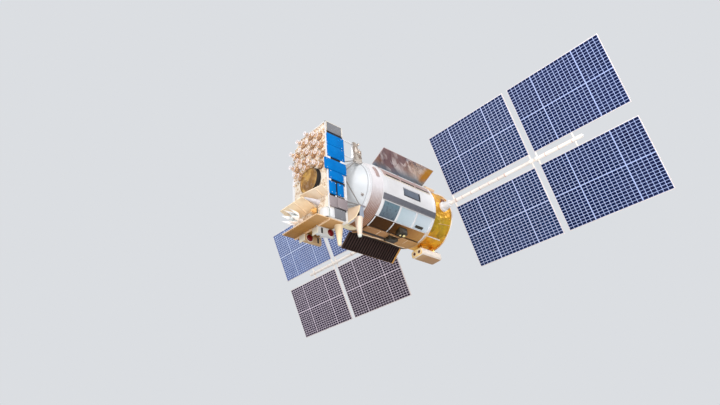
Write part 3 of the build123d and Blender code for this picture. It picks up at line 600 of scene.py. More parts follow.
DARK = Coating("dark_grey", (0.035, 0.036, 0.042), (0.02, 0.02, 0.024), 0.55)
BLACK = Coating("black_paint", (0.008, 0.008, 0.010), (0.016, 0.014, 0.013), 0.5, 0.3)
BROWN_BLACK = Coating("brown_black", (0.020, 0.012, 0.009), (0.040, 0.024, 0.014), 0.5, 0.3)
DRUM_GOLD = Foil("drum_foil", ((0.1, (0.84, 0.30, 0.010)), (0.36, (0.86, 0.40, 0.03)), (0.50, (0.30, 0.10, 0.006)),
                               (0.66, (0.92, 0.52, 0.08)), (0.90, (0.50, 0.22, 0.012))), 4.2, 0.045, 0.42, 0.80,
                 (Zone("Z", -0.62, -0.46, (0.58, 0.42, 0.03), 0.75), Zone("Z", -0.34, -0.14, (0.70, 0.31, 0.02), 0.75),
                  Zone("Z", -0.58, -0.66, (0.98, 0.50, 0.03))))
GOLD = Foil("gold_foil", ((0.2, (0.86, 0.44, 0.06)), (0.8, (0.92, 0.60, 0.18))), 14.0, 0.012, 0.26)
COVER_FOIL = Foil("cover_foil", ((0.05, (0.20, 0.075, 0.05)), (0.24, (0.36, 0.18, 0.15)), (0.32, (0.90, 0.80, 0.76)),
                                 (0.40, (0.26, 0.16, 0.17)), (0.60, (0.36, 0.23, 0.22)), (0.70, (0.94, 0.84, 0.80)),
                                 (0.78, (0.30, 0.15, 0.11)), (0.92, (0.66, 0.46, 0.36))),
                  7.5, 0.022, 0.30, 0.80,
                  (Zone("X", 1.55, 1.15, (0.84, 0.66, 0.52), 0.62), Zone("X", 0.98, 0.86, (0.66, 0.32, 0.05)),
                   Zone("Y", 0.60, 0.50, (0.22, 0.28, 0.34), 0.85)), (0.30, 1.0, 1.0), (0.0, -13.6, 25.8))
DISH_GOLD = Foil("dish_foil", ((0.1, (0.20, 0.09, 0.015)), (0.35, (0.34, 0.17, 0.03)), (0.55, (0.52, 0.30, 0.07)),
                               (0.75, (0.26, 0.12, 0.02)), (0.95, (0.56, 0.34, 0.09))), 7.0, 0.02, 0.5, 0.3)
COPPER = Machined("copper_gold", (0.88, 0.58, 0.32), 0.34)
PINK_WHITE = Coating("loop_lavender", (0.84, 0.82, 0.88), (0.80, 0.70, 0.68), 0.4)
SILVER = Machined("machined_metal", (0.78, 0.78, 0.80), 0.34)
STRIP_PINK = Coating("strip_pink", (0.50, 0.37, 0.35), (0.38, 0.26, 0.24))
RIB_BROWN = Coating("rib_brown", (0.050, 0.028, 0.024), (0.034, 0.018, 0.015), 0.5, 0.15)
RIB_FLOOR = Coating("rib_floor", (0.008, 0.004, 0.004), (0.012, 0.006, 0.005), 0.6, 0.1)
NEAR_CELLS = (CellGlass("cells_near_inner", ((0.002, 0.007, 0.042), (0.006, 0.018, 0.075)),
                        ((0.002, 0.007, 0.038), (0.005, 0.017, 0.070)), (0.16, 0.20, 0.44)),
              CellGlass("cells_near_outer", ((0.001, 0.003, 0.030), (0.003, 0.009, 0.055)),
                        ((0.001, 0.003, 0.028), (0.003, 0.009, 0.050)), (0.12, 0.16, 0.38)))
# The far wing's upper cells are lighter and bluer than the lower ones: painted sheen.
FAR_CELLS = (CellGlass("cells_far_inner", ((0.030, 0.055, 0.19), (0.060, 0.11, 0.30)),
                       ((0.012, 0.007, 0.020), (0.030, 0.018, 0.034)), (0.30, 0.28, 0.42)),
             CellGlass("cells_far_outer", ((0.040, 0.070, 0.22), (0.085, 0.14, 0.34)),
                       ((0.014, 0.009, 0.026), (0.034, 0.024, 0.048)), (0.30, 0.28, 0.42)))
NEAR_GRID = Gradient("grid_near", "Y", ((1.0, (0.44, 0.50, 0.74)), (3.0, (0.43, 0.49, 0.73)), (3.3, (0.38, 0.45, 0.71)),
                                        (5.2, (0.34, 0.42, 0.70))))
# The far grid's lines turn lighter and bluer on the upper panels: painted sheen.
FAR_GRID = Gradient("grid_far", "Z", ((-1.4, (0.72, 0.62, 0.72)), (-0.1, (0.72, 0.62, 0.72)), (0.12, (0.58, 0.66, 0.88)),
                                      (1.5, (0.60, 0.70, 0.92))))
PANEL_EDGE = Coating("panel_edge", (0.78, 0.70, 0.66), (0.66, 0.58, 0.56))
PANEL_BACK = Coating("panel_back", (0.045, 0.042, 0.046), (0.070, 0.060, 0.055), 0.42)
AMBER = Foil("amber_film", ((0.2, (0.60, 0.28, 0.05)), (0.8, (0.78, 0.42, 0.12))), 20.0, 0.004, 0.3, 0.6)
BOOM = Coating("boom_paint", (0.90, 0.84, 0.78), (0.80, 0.73, 0.67))
WIRE = Coating("wire_sleeve", (0.60, 0.57, 0.55), (0.46, 0.42, 0.40))


class Shape:
    """Gathers the faces of one piece."""

    def __init__(self) -> None:
        """Starts with no faces."""
        self.bm = bmesh.new()

    def box(self, low: Sequence[float], high: Sequence[float], bevel: float = 0.0,
            place: Optional[Matrix] = None) -> None:
        """Adds a box between two corners.

        Args:
            low: lowest corner.
            high: highest corner.
            bevel: width of the rounding on its edges.
            place: matrix from the corners' frame to the row frame.
        """
        verts = bmesh.ops.create_cube(self.bm, size=1.0)["verts"]
        centre = [(a + b) / 2 for a, b in zip(low, high)]
        matrix = Matrix.Translation(centre) @ Matrix.Diagonal([abs(b - a) for a, b in zip(low, high)]).to_4x4()
        bmesh.ops.transform(self.bm, matrix=(place or Matrix.Identity(4)) @ matrix, verts=verts)
        if bevel:
            edges = list({edge for vert in verts for edge in vert.link_edges})
            bmesh.ops.bevel(self.bm, geom=edges, offset=bevel, segments=2, affect="EDGES", profile=0.5)

    def boxes(self, rows: Iterable[tuple[Sequence[float], Sequence[float]]], bevel: float = 0.0,
              place: Optional[Matrix] = None) -> None:
        """Adds a box for each pair of corners.

        Args:
            rows: pairs of lowest and highest corner.
            bevel: width of the rounding on their edges.
            place: matrix from the corners' frame to the row frame.
        """
        for low, high in rows:
            self.box(low, high, bevel, place)

    def ring_faces(self, rings: Sequence[Sequence[bmesh.types.BMVert]], closed: bool) -> None:
        """Joins rows of points into faces.

        Args:
            rings: the rows.
            closed: whether a row's end joins its start.
        """
        for first, second in zip(rings, rings[1:]):
            count = len(first)
            for i in range(count if closed else count - 1):
                j = (i + 1) % count
                unique = list(dict.fromkeys([first[i], first[j], second[j], second[i]]))
                if len(unique) > 2 and not self.bm.faces.get(unique):
                    self.bm.faces.new(unique)

    def surface(self, point: Callable[[float, float], Sequence[float]], steps: tuple[int, int],
                closed: bool = True) -> None:
        """Adds a surface from a function.

        Args:
            point: gives the point at a share along and a share round.
            steps: divisions along and round.
            closed: whether it closes round.
        """
        along_steps, round_steps = steps
        last = round_steps if closed else round_steps + 1
        rings = [[self.bm.verts.new(point(i / along_steps, j / round_steps)) for j in range(last)]
                 for i in range(along_steps + 1)]
        self.ring_faces(rings, closed)

    def turned(self, profile: Sequence[tuple[float, float]], place: Matrix, sides: int = 48,
               loop: bool = False, span: tuple[float, float] = (0.0, 360.0)) -> None:
        """Adds a turned form round local Z.

        Args:
            profile: (height, radius) points; a radius of 0 closes an end.
            place: matrix from local to row frame.
            sides: number of faces round.
            loop: whether the profile closes on itself.
            span: start and end angle, in degrees.
        """
        whole = abs(span[1] - span[0]) > 359.9
        count = sides if whole else sides + 1
        rings = []
        for height, radius in profile:
            if radius < 1e-7:
                rings.append([self.bm.verts.new(place @ Vector((0, 0, height)))] * count)
                continue
            turns = [math.radians(span[0] + (span[1] - span[0]) * i / sides) for i in range(count)]
            rings.append([self.bm.verts.new(place @ Vector((radius * math.cos(t), radius * math.sin(t), height)))
                          for t in turns])
        if loop:
            rings.append(rings[0])
        self.ring_faces(rings, whole)

    def bar(self, start: Sequence[float], end: Sequence[float], radius: float,
            end_radius: Optional[float] = None, sides: int = 16, round_off: float = 0.0) -> None:
        """Adds a round bar or cone with closed ends.

        Args:
            start: centre of its first end.
            end: centre of its second end.
            radius: radius at the start.
            end_radius: radius at the end, or None for the same.
            sides: number of faces round.
            round_off: rounding of the end edges.
        """
        place, length = along(start, end)
        last = radius if end_radius is None else end_radius
        edge = min(round_off, radius * 0.5, length * 0.3)
        middle = [(edge, radius), (length - edge, last)] if edge else []
        self.turned([(0.0, 0.0), (0.0, radius - edge), *middle, (length, last - edge), (length, 0.0)], place, sides)

    def tube(self, points: Sequence[Sequence[float]], radius: float, sides: int = 8) -> None:
        """Adds a tube with closed ends.

        Args:
            points: the line that it follows.
            radius: its radius.
            sides: number of faces round.
        """
        line = [Vector(p) for p in points]
        rings = []
        side = None
        for i, here in enumerate(line):
            run = (line[min(i + 1, len(line) - 1)] - line[max(i - 1, 0)]).normalized()
            side = side or run.cross(Vector((0.3, 0.2, 0.93))).normalized()
            side = (side - run * side.dot(run)).normalized()
            other = run.cross(side)
            turns = [2 * math.pi * k / sides for k in range(sides)]
            rings.append([self.bm.verts.new(here + radius * (math.cos(t) * side + math.sin(t) * other)) for t in turns])
        self.ring_faces(rings, True)
        self.bm.faces.new(rings[0][::-1])
        self.bm.faces.new(rings[-1])

    def plate(self, outline: Sequence[tuple[float, float]], place: Matrix, thickness: float) -> None:
        """Adds a flat plate.

        Args:
            outline: its corners in the local XY plane.
            place: matrix from local to row frame.
            thickness: how thick it is towards local Z.
        """
        low = [self.bm.verts.new(place @ Vector((x, y, 0.0))) for x, y in outline]
        high = [self.bm.verts.new(place @ Vector((x, y, thickness))) for x, y in outline]
        faces = [self.bm.faces.new(low[::-1]), self.bm.faces.new(high)]
        for i in range(len(outline)):
            j = (i + 1) % len(outline)
            faces.append(self.bm.faces.new((low[i], low[j], high[j], high[i])))
        bmesh.ops.recalc_face_normals(self.bm, faces=faces)

    def curved(self, x: tuple[float, float], angles: tuple[float, float], radii: tuple[float, float],
               steps: tuple[int, int] = (1, 12), lift: Optional[Callable[[Vector], float]] = None) -> None:
        """Adds a curved plate round the body axis.

        Args:
            x: start and end station.
            angles: start and end angle.
            radii: inner and outer radius.
            steps: divisions along and round.
            lift: extra height of the outer side at a point.
        """

        def grid(radius: float, lifted: bool) -> list[list[bmesh.types.BMVert]]:
            """Makes the points of one side, lifted or not."""
            rows = []
            for i in range(steps[0] + 1):
                spots = [round_body(x[0] + (x[1] - x[0]) * i / steps[0], radius,
                                    angles[0] + (angles[1] - angles[0]) * j / steps[1]) for j in range(steps[1] + 1)]
                if lifted and lift:
                    spots = [p + Vector((0, p.y, p.z)).normalized() * lift(p) for p in spots]
                rows.append([self.bm.verts.new(p) for p in spots])
            return rows

        outer, inner = grid(radii[1], True), grid(radii[0], False)
        before = len(self.bm.faces)
        for rows in (outer, inner, (outer[0], inner[0]), (inner[-1], outer[-1]),
                     ([row[0] for row in inner], [row[0] for row in outer]),
                     ([row[-1] for row in outer], [row[-1] for row in inner])):
            self.ring_faces(rows, False)
        self.bm.faces.ensure_lookup_table()
        bmesh.ops.recalc_face_normals(self.bm, faces=self.bm.faces[before:])

    def cad(self, node: str, bevel: float = 0.0, segments: int = 2) -> None:
        """Adds a merged copy of a CAD node's mesh, with its sharp edges rounded.

        Args:
            node: name of the CAD node.
            bevel: width of the rounding.
            segments: faces across the rounding.
        """
        part = bmesh.new()
        part.from_mesh(frame["nodes"][node].data)
        bmesh.ops.remove_doubles(part, verts=part.verts, dist=2e-5)
        bmesh.ops.dissolve_limit(part, angle_limit=math.radians(0.6), verts=part.verts, edges=part.edges)
        if bevel:
            sharp = [e for e in part.edges if len(e.link_faces) == 2 and e.calc_face_angle(0.0) > math.radians(40.0)]
            bmesh.ops.bevel(part, geom=sharp, offset=bevel, segments=segments, affect="EDGES", profile=0.5,
                            clamp_overlap=True)
        mesh = bpy.data.meshes.new("copy")
        part.to_mesh(mesh)
        part.free()
        self.add(mesh)

    def add(self, mesh: bpy.types.Mesh, place: Optional[Matrix] = None) -> None:
        """Adds a finished mesh and removes it from the file's data.

        Args:
            mesh: the mesh.
            place: matrix to put it at.
        """
        if place:
            mesh.transform(place)
        self.bm.from_mesh(mesh)
        bpy.data.meshes.remove(mesh)

    def piece(self, name: str, finish: Finish, body: Body = Body.BUS, slot: str = "", replaces: Sequence[str] = (),
              smooth: float = 35.0, merge: bool = False) -> bpy.types.Object:
        """Turns the faces into a piece that rides on a body.

        Args:
            name: name of the piece.
            finish: its surface.
            body: the body that it moves with.
            slot: not used.
            replaces: CAD nodes that it stands for.
            smooth: edges that turn more than this many degrees stay sharp.
            merge: whether doubles are merged and normals made to point outwards.

        Returns:
            The new object.
        """
        if merge:
            bmesh.ops.remove_doubles(self.bm, verts=self.bm.verts, dist=1e-6)
            bmesh.ops.recalc_face_normals(self.bm, faces=self.bm.faces)
        mesh = bpy.data.meshes.new(name)
        self.bm.to_mesh(mesh)
        self.bm.free()
        mesh.materials.clear()
        mesh.materials.append(finish.material())
        mesh.polygons.foreach_set("material_index", [0] * len(mesh.polygons))
        mesh.polygons.foreach_set("use_smooth", [True] * len(mesh.polygons))
        mesh.set_sharp_from_angle(angle=math.radians(smooth))
        obj = bpy.data.objects.new(name, mesh)
        bpy.context.scene.collection.objects.link(obj)
        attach(obj, body.value)
        if replaces:
            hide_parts(*replaces)
        log.info("piece %s: %d faces", name, len(mesh.polygons))
        return obj


def refine(node: str, name: str, finish: Finish, slot: str, bevel: float = 0.004, body: Body = Body.BUS) -> None:
    """Makes a piece from a CAD node with rounded edges, which stands for that node.

    Args:
        node: the CAD node.
        name: name of the piece.
        finish: its surface.
        slot: handed on to the piece, which does not use it.
        bevel: width of the rounding.
        body: the body that it moves with.
    """
    shape = Shape()
    shape.cad(node, bevel)
    shape.piece(name, finish, body, slot, [node], 40.0)


class Tree:
    """A Geometry Nodes tree with named inputs, which ends in real faces with a material."""

    def __init__(self, name: str, **kinds: str) -> None:
        """Starts the tree.

        Args:
            name: its name.
            kinds: its named inputs besides Material, each Float or Int.
        """
        self.group = bpy.data.node_groups.new(name, "GeometryNodeTree")
        face = self.group.interface
        face.new_socket(name="Geometry", in_out="INPUT", socket_type="NodeSocketGeometry")
        face.new_socket(name="Geometry", in_out="OUTPUT", socket_type="NodeSocketGeometry")
        kinds = {**kinds, "Material": "Material"}
        self.identifiers: dict[str, str] = {}
        for key, kind in kinds.items():
            made = face.new_socket(name=key.replace("_", " "), in_out="INPUT", socket_type="NodeSocket" + kind)
            self.identifiers[key] = made.identifier
        start = self.group.nodes.new("NodeGroupInput")
        self.carrier: Socket = start.outputs[0]
        self.given: dict[str, Socket] = {key: start.outputs[key.replace("_", " ")] for key in kinds}

    def node(self, kind: str, settings: Optional[dict[str, Any]] = None, **values: Any) -> Socket:
        """Adds a node.

        Args:
            kind: the node's type.
            settings: its properties.
            values: sockets or values for its inputs, by name.

        Returns:
            Its first output.
        """
        made = self.group.nodes.new(kind)
        for key, value in (settings or {}).items():
            setattr(made, key, value)
        for name, value in values.items():
            target = made.inputs[name.replace("_", " ")]
            if isinstance(value, bpy.types.NodeSocket):
                self.group.links.new(value, target)
            else:
                target.default_value = value
        return made.outputs[0]

    def join(self, parts: Sequence[Socket]) -> Socket:
        """Joins several geometries.

        Args:
            parts: the geometries.

        Returns:
            The joined geometry.
        """
        joined = self.group.nodes.new("GeometryNodeJoinGeometry")
        for part in parts:
            self.group.links.new(part, joined.inputs[0])
        return joined.outputs[0]

    def raised(self, geometry: Socket, height: Socket) -> Socket:
        """Moves a geometry along local Z.

        Args:
            geometry: what is moved.
            height: how far.

        Returns:
            The moved geometry.
        """
        return self.node("GeometryNodeTransform", Geometry=geometry,
                         Translation=self.node("ShaderNodeCombineXYZ", Z=height))

    def ring(self, radius: Socket, wire: Socket, sides: int = 28) -> Socket:
        """Adds a wire ring in the local XY plane.

        Args:
            radius: its radius.
            wire: the wire's radius.
            sides: runs of the ring.

        Returns:
            The ring's geometry.
        """
        line = self.node("GeometryNodeCurvePrimitiveCircle", Resolution=sides, Radius=radius)
        section = self.node("GeometryNodeCurvePrimitiveCircle", Resolution=8, Radius=wire)
        return self.node("GeometryNodeCurveToMesh", Curve=line, Profile_Curve=section)

    def on_spots(self, instance: Socket) -> None:
        """Sets an instance on each spot, turned the way that the spot faces, and ends the tree.

        Args:
            instance: geometry of one, with its axis on local Z.
        """
        facing = self.node("GeometryNodeInputNamedAttribute", {"data_type": "FLOAT_VECTOR"}, Name="facing")
        turn = self.node("FunctionNodeAlignRotationToVector", {"axis": "Z"}, Vector=facing)
        self.close(self.node("GeometryNodeInstanceOnPoints", Points=self.carrier, Instance=instance, Rotation=turn))

    def close(self, geometry: Socket) -> None:
        """Ends the tree in Realize Instances and Set Material.

        Args:
            geometry: the finished geometry.
        """
        real = self.node("GeometryNodeRealizeInstances", Geometry=geometry)
        dressed = self.node("GeometryNodeSetMaterial", Geometry=real, Material=self.given["Material"])
        self.group.links.new(dressed, self.group.nodes.new("NodeGroupOutput").inputs[0])

    def mesh(self, finish: Finish, spots: Optional[Iterable[Spot]] = None, **values: Any) -> bpy.types.Mesh:
        """Runs the tree on a set of spots.

        Args:
            finish: the surface of what it makes.
            spots: places and the ways that they face, or None for a tree that needs none.
            values: the tree's named inputs.

        Returns:
            The result as a plain mesh.
        """
        base = bpy.data.meshes.new("spots")
        if spots is not None:
            listed = list(spots)
            base.from_pydata([tuple(place) for place, _ in listed], [], [])
            facing = base.attributes.new("facing", "FLOAT_VECTOR", "POINT")
            facing.data.foreach_set("vector", [value for _, way in listed for value in way])
        obj = bpy.data.objects.new("spots", base)
        bpy.context.scene.collection.objects.link(obj)
        modifier = obj.modifiers.new("tree", "NODES")
        modifier.node_group = self.group
        modifier[self.identifiers["Material"]] = finish.material()
        for name, value in values.items():
            modifier[self.identifiers[name]] = value
        graph = bpy.context.evaluated_depsgraph_get()
        result = bpy.data.meshes.new_from_object(obj.evaluated_get(graph), depsgraph=graph)
        obj.modifiers.remove(modifier)
        bpy.data.objects.remove(obj)
        bpy.data.meshes.remove(base)
        return result


class Fasteners:
    """Button headed screws and rivets, set on points that say which way they face."""

    def __init__(self) -> None:
        """Builds the tree once."""
        tree = Tree("fasteners", Head_radius="Float", Crown_radius="Float", Head_height="Float", Sides="Int")
        given = tree.given
        tree.on_spots(tree.node("GeometryNodeMeshCone", Vertices=given["Sides"], Radius_Top=given["Crown_radius"],
                                Radius_Bottom=given["Head_radius"], Depth=given["Head_height"]))
        self.tree = tree

    def piece(self, name: str, spots: Iterable[Spot], radius: float, height: float, finish: Finish,
              slot: str = "aluminium", sides: int = 8) -> None:
        """Makes one piece of fasteners on the bus.

        Args:
            name: name of the piece.
            spots: places and the ways that they face.
            radius: radius of a head.
            height: its height.
            finish: its surface.
            slot: handed on to the piece, which does not use it.
            sides: faces round a head.
        """
        shape = Shape()
        shape.add(self.tree.mesh(finish, spots, Head_radius=radius, Crown_radius=0.62 * radius, Head_height=height,
                                 Sides=sides))
        shape.piece(name, finish, slot=slot, smooth=40.0)


class SlatRow:
    """Straight slats side by side, in a local frame: long along X, repeated along Y."""

    def __init__(self) -> None:
        """Builds the tree once."""
        tree = Tree("slat_row", Count="Int", Pitch="Float", Length="Float", Width="Float", Height="Float")
        given = tree.given
        size = tree.node("ShaderNodeCombineXYZ", X=given["Length"], Y=given["Width"], Z=given["Height"])
        slat = tree.node("GeometryNodeMeshCube", Size=size)
        step = tree.node("ShaderNodeCombineXYZ", Y=given["Pitch"])
        line = tree.node("GeometryNodeMeshLine", {"mode": "OFFSET"}, Count=given["Count"], Offset=step)
        tree.close(tree.node("GeometryNodeInstanceOnPoints", Points=line, Instance=slat))
        self.tree = tree

    def mesh(self, count: int, pitch: float, size: Point, finish: Finish) -> bpy.types.Mesh:
        """Makes the slats, the first at the local origin.

        Args:
            count: how many.
            pitch: from one to the next.
            size: length, width and height of a slat.
            finish: their surface.

        Returns:
            The slats' mesh.
        """
        return self.tree.mesh(finish, Count=count, Pitch=pitch, Length=size[0], Width=size[1], Height=size[2])


def row(start: Sequence[float], end: Sequence[float], count: int, facing: Sequence[float]) -> list[Spot]:
    """Gives evenly spaced spots between two points.

    Args:
        start: first spot.
        end: last spot.
        count: how many.
        facing: the way that they face.

    Returns:
        The spots.
    """
    first, last = Vector(start), Vector(end)
    return [(first.lerp(last, i / max(count - 1, 1)), tuple(facing)) for i in range(count)]


def hoop_spots(x: float, radius: float, count: int, span: tuple[float, float] = (0, 360)) -> list[Spot]:
    """Gives spots round the body that face outwards.

    Args:
        x: their station.
        radius: their radius.
        count: how many.
        span: start and end angle.

    Returns:
        The spots.
    """
    angles = [span[0] + (span[1] - span[0]) * (i + 0.5) / count for i in range(count)]
    return [(round_body(x, radius, angle), round_body(0, 1.0, angle)) for angle in angles]


X_AXIS = placement((0, 0, 0), (0, 0, 1), (1, 0, 0))


@dataclass
class Drum:
    """Aft end: gold foil drum, aft cap, launch adapter, solar drives and the rounded case."""

    fasteners: Fasteners
    rim_radius: float = 0.748
    rim_width: float = 0.014
    hoop_width: float = 0.066
    cap_radius: float = 0.540
    cap_height: float = 0.080
    web_count: int = 36
    fold: float = 0.17
    fold_depth: float = 0.020
    drive_x: float = 0.380
    drive_z: float = 0.043
    case_x: tuple[float, float] = (0.112, 0.764)
    case_middle: tuple[float, float] = (0.096, -0.962)
    case_half: tuple[float, float] = (0.156, 0.082)
    case_roll: float = 5.0

    def skin(self, share: float, turn: float) -> Vector:
        """Gives a point of the crinkled drum, which starts and ends in its flat ends.

        Args:
            share: place along, from 0 to 1.
            turn: place round, from 0 to 1.

        Returns:
            The point.
        """
        angle = 360 * turn
        if share < 0.05 or share > 0.98:
            return round_body(AT.drum_start if share < 0.05 else AT.shell_start, 0.60 + 2.0 * min(share, 0.05), angle)
        x = AT.drum_start + (AT.shell_start - AT.drum_start) * (share - 0.05) / 0.93
        point = round_body(x, AT.drum_radius, angle)
        edge = max(0.0, min(1.0, (x - AT.drum_start) / 0.03, (AT.shell_start - x) / 0.03))
        deep = 0.15 + crumple(point, self.fold, 2) - 0.5 * noise.noise(point * 4.0)
        return round_body(x, AT.drum_radius - self.fold_depth * deep * edge, angle)

    def build_drum(self) -> None:
        """Makes the foil drum, the hoops at both ends and the screws of the wide one."""
        shape = Shape()
        shape.surface(self.skin, (62, 300))
        shape.piece("drum_foil", DRUM_GOLD, slot="gold_foil", replaces=["gold_drum"], smooth=60.0, merge=True)
        hoops = Shape()
        for x0, x1, r0, r1 in (
            (AT.drum_start, AT.drum_start + self.rim_width, AT.drum_radius - 0.004, self.rim_radius),
            (AT.shell_start, AT.shell_start + self.hoop_width, AT.shell_radius - 0.014, AT.hoop_radius),
        ):
            hoops.turned([(x0, r0), (x0, r1 - 0.002), (x0 + 0.002, r1), (x1 - 0.002, r1), (x1, r1 - 0.002), (x1, r0)],
                         X_AXIS, 160, loop=True)
        # The hoops' white turns brown towards the bottom: painted shade on their undersides.
        hoops.piece("end_hoops_smooth", Gradient("hoop_painted_shade", "Z", (
            (-0.76, (0.66, 0.42, 0.18)), (-0.66, (0.62, 0.44, 0.27)), (-0.54, (0.76, 0.755, 0.765)))), slot="white_blanket", replaces=["end_hoops"], merge=True)
        self.fasteners.piece("hoop_screws", hoop_spots(AT.shell_start + 0.033, 0.7515, 60), 0.0055, 0.004, SILVER)

    def build_adapter(self) -> None:
        """Makes the adapter ring with its webs and screws, and the foil aft cap."""
        refine("launch_adapter", "adapter_ring", SILVER, "aluminium", 0.0015)
        webs = Shape()
        for i in range(self.web_count):
            out = round_body(0, 1.0, 360 * (i + 0.25) / self.web_count)
            webs.box((0.014, -0.002, 0.568), (0.092, 0.002, 0.612), 0.0, placement((0, 0, 0), (1, 0, 0), out))
        webs.piece("adapter_webs", SILVER, slot="aluminium")
        self.fasteners.piece("adapter_screws", hoop_spots(0.099, 0.621, 48), 0.005, 0.004, SILVER)
        sphere = (self.cap_radius ** 2 + self.cap_height ** 2) / (2 * self.cap_height)

        def dimpled(share: float, turn: float) -> Point:
            """Gives a point of the domed foil cap."""
            point = round_body(0, self.cap_radius * share, 360 * turn)
            drop = sphere - math.sqrt(sphere ** 2 - (self.cap_radius * share) ** 2)
            return AT.drum_start - self.cap_height + drop + 0.012 * crumple(point, 0.12), point.y, point.z

        cap = Shape()
        cap.surface(dimpled, (24, 96))
        cap.piece("aft_cap_foil", GOLD, slot="gold_foil", replaces=["aft_cap"], smooth=60.0, merge=True)

    def build_drives(self) -> None:
        """Makes both drive housings with ribs, flange screws and grooves."""
        for name, side in (("near", 1.0), ("far", -1.0)):
            place = placement((self.drive_x, 0, self.drive_z), (1, 0, 0), (0, side, 0))
            shape = Shape()
            profile = [(0.66, 0.0), (0.66, 0.118), (0.752, 0.118), (0.762, 0.108), (0.766, 0.092), (0.776, 0.086)]
            for start in (0.830, 0.880):
                profile += [(start, 0.086), (start + 0.004, 0.083), (start + 0.010, 0.083), (start + 0.014, 0.086)]
            profile += [(0.930, 0.086), (0.938, 0.082), (0.940, 0.076), (0.940, 0.039), (0.900, 0.039), (0.900, 0.0)]
            shape.turned(profile, place, 64)
            for turn in (35.0, 155.0, 275.0):
                spoke = place @ Matrix.Rotation(math.radians(turn), 4, "Z")
                shape.box((0.080, -0.009, 0.764), (0.104, 0.009, 0.800), 0.003, spoke)
            shape.piece(f"drive_housing_{name}_fine", WHITE, slot="white_paint", replaces=[f"drive_housing_{name}"],
                        merge=True)
            spins = [place @ Matrix.Rotation(math.radians(30 * i), 4, "Z") for i in range(12)]
            self.fasteners.piece(f"drive_screws_{name}", [(s @ Vector((0.104, 0, 0.763)), (0, side, 0)) for s in spins],
                                 0.006, 0.005, SILVER)

    def build_fittings(self) -> None:
        """Makes the cream box, pipes, small boxes, a cream rail and buttons on the drum."""
        refine("drum_unit", "drum_box", Coating("drum_box_cream", (0.92, 0.72, 0.52), (0.84, 0.58, 0.36)), "cream_paint",
               0.006)
        pipes = Shape()
        for angle, start, end in ((62.0, 0.17, 0.36), (66.0, 0.22, 0.40), (118.0, 0.16, 0.50)):
            pipes.tube([round_body(x, radius, angle + lean) for x, radius, lean in (
                (start, 0.720, 0), (start, 0.736, 0), (start + 0.02, 0.742, 0), ((start + end) / 2, 0.742, 1.5),
                (end - 0.02, 0.738, 3), (end, 0.715, 3.5))], 0.006)
        pipes.piece("drum_pipes", COPPER, slot="gold_foil")
        boxes = Shape()
        for angle, x, size in ((70.0, 0.30, 0.05), (76.0, 0.38, 0.035), (79.0, 0.27, 0.03), (84.0, 0.22, 0.04)):
            place = placement(round_body(x, 0.712, angle), (1, 0, 0), round_body(0, 1, angle))
            boxes.box((-size, -size * 0.8, 0.0), (size, size * 0.8, 0.028), 0.003, place)
            boxes.bar(place @ Vector((0, 0, 0.02)), place @ Vector((0, 0, 0.036)), size * 0.45)
        boxes.piece("drum_boxes", Coating("copper_brown", (0.30, 0.11, 0.05), (0.12, 0.04, 0.02), 0.42), slot="black")
        rail = Shape()
        rail.curved((0.25, 0.68), (148.0, 149.6), (0.712, 0.744), (1, 2))
        rail.piece("drum_rail", PALE_CREAM, slot="cream_paint")
        spots = [spot for x in (0.17, 0.63) for spot in hoop_spots(x, 0.7215, 22)]
        self.fasteners.piece("blanket_buttons", spots, 0.009, 0.006, GOLD, "gold_foil", 12)

    def build_case(self) -> None:
        """Makes the rounded case with its tan belly, gold front cap, ports, strap and feet."""
        refine("aft_case", "aft_case_body", Coating("case_white", (0.82, 0.73, 0.65), (0.72, 0.62, 0.53), 0.46),
               "white_paint", 0.006)
        refine("aft_case_brackets", "aft_case_feet", GOLD, "gold_foil", 0.005)
        x0, x1 = self.case_x
        half, tall = self.case_half
        place = Matrix.Translation((0, *self.case_middle)) @ Matrix.Rotation(math.radians(self.case_roll), 4, "X")
        belly = Shape()
        belly.box((x0 + 0.012, -half + 0.030, -tall - 0.002), (x1 - 0.040, half - 0.030, -tall + 0.006), 0.001, place)
        belly.piece("aft_case_belly", Gradient("case_tan", "X", ((0.1, (0.44, 0.24, 0.11)), (0.5, (0.40, 0.22, 0.095)),
                                                                 (0.76, (0.52, 0.33, 0.16)))), slot="cream_paint")
        cap = Shape()
        c = 0.034
        outline = [(s * half + a, t * tall + b) for s, t, a, b in (
            (-1, -1, c, 0), (1, -1, -c, 0), (1, -1, 0, c), (1, 1, 0, -c), (1, 1, -c, 0), (-1, 1, c, 0), (-1, 1, 0, -c),
            (-1, -1, 0, c))]
        front = place @ Matrix(((0, 0, 1, x1 - 0.001), (1, 0, 0, 0), (0, 1, 0, 0), (0, 0, 0, 1)))
        cap.plate([(0.97 * a, 0.97 * b) for a, b in outline], front, 0.0035)
        cap.piece("aft_case_cap", Coating("cap_gold", (0.94, 0.74, 0.38), (0.84, 0.52, 0.18), 0.42), slot="gold_foil")
        ports, dark = Shape(), Shape()
        for dy in (-0.07, 0.07):
            turned = place @ placement((x1, dy, 0), (0, 1, 0), (1, 0, 0))
            dark.turned([(0.0035, 0.0), (0.0035, 0.036)], turned, 40)
            ports.turned([(0.001, 0.036), (0.005, 0.036), (0.006, 0.038), (0.006, 0.044), (0.001, 0.046)], turned, 40)
        ports.piece("aft_case_ports", PALE_CREAM, slot="gold_foil")
        dark.box((0.50, half - 0.070, tall - 0.01), (0.53, half - 0.010, tall + 0.010), 0.002, place)
        dark.boxes((((0.17, 0.09, tall - 0.004), (0.23, 0.13, tall + 0.016)),
                    ((0.66, 0.05, tall - 0.004), (0.71, 0.10, tall + 0.02))), 0.002, place)
        dark.piece("aft_case_darks", Coating("port_brown", (0.13, 0.045, 0.014), (0.07, 0.025, 0.01), 0.4, 0.3),
                   slot="black")
        spots = [(place @ Vector((x, y, -tall - 0.003)), (0, 0, -1)) for x in (0.14, 0.42, 0.70) for y in (-0.11, 0.11)]
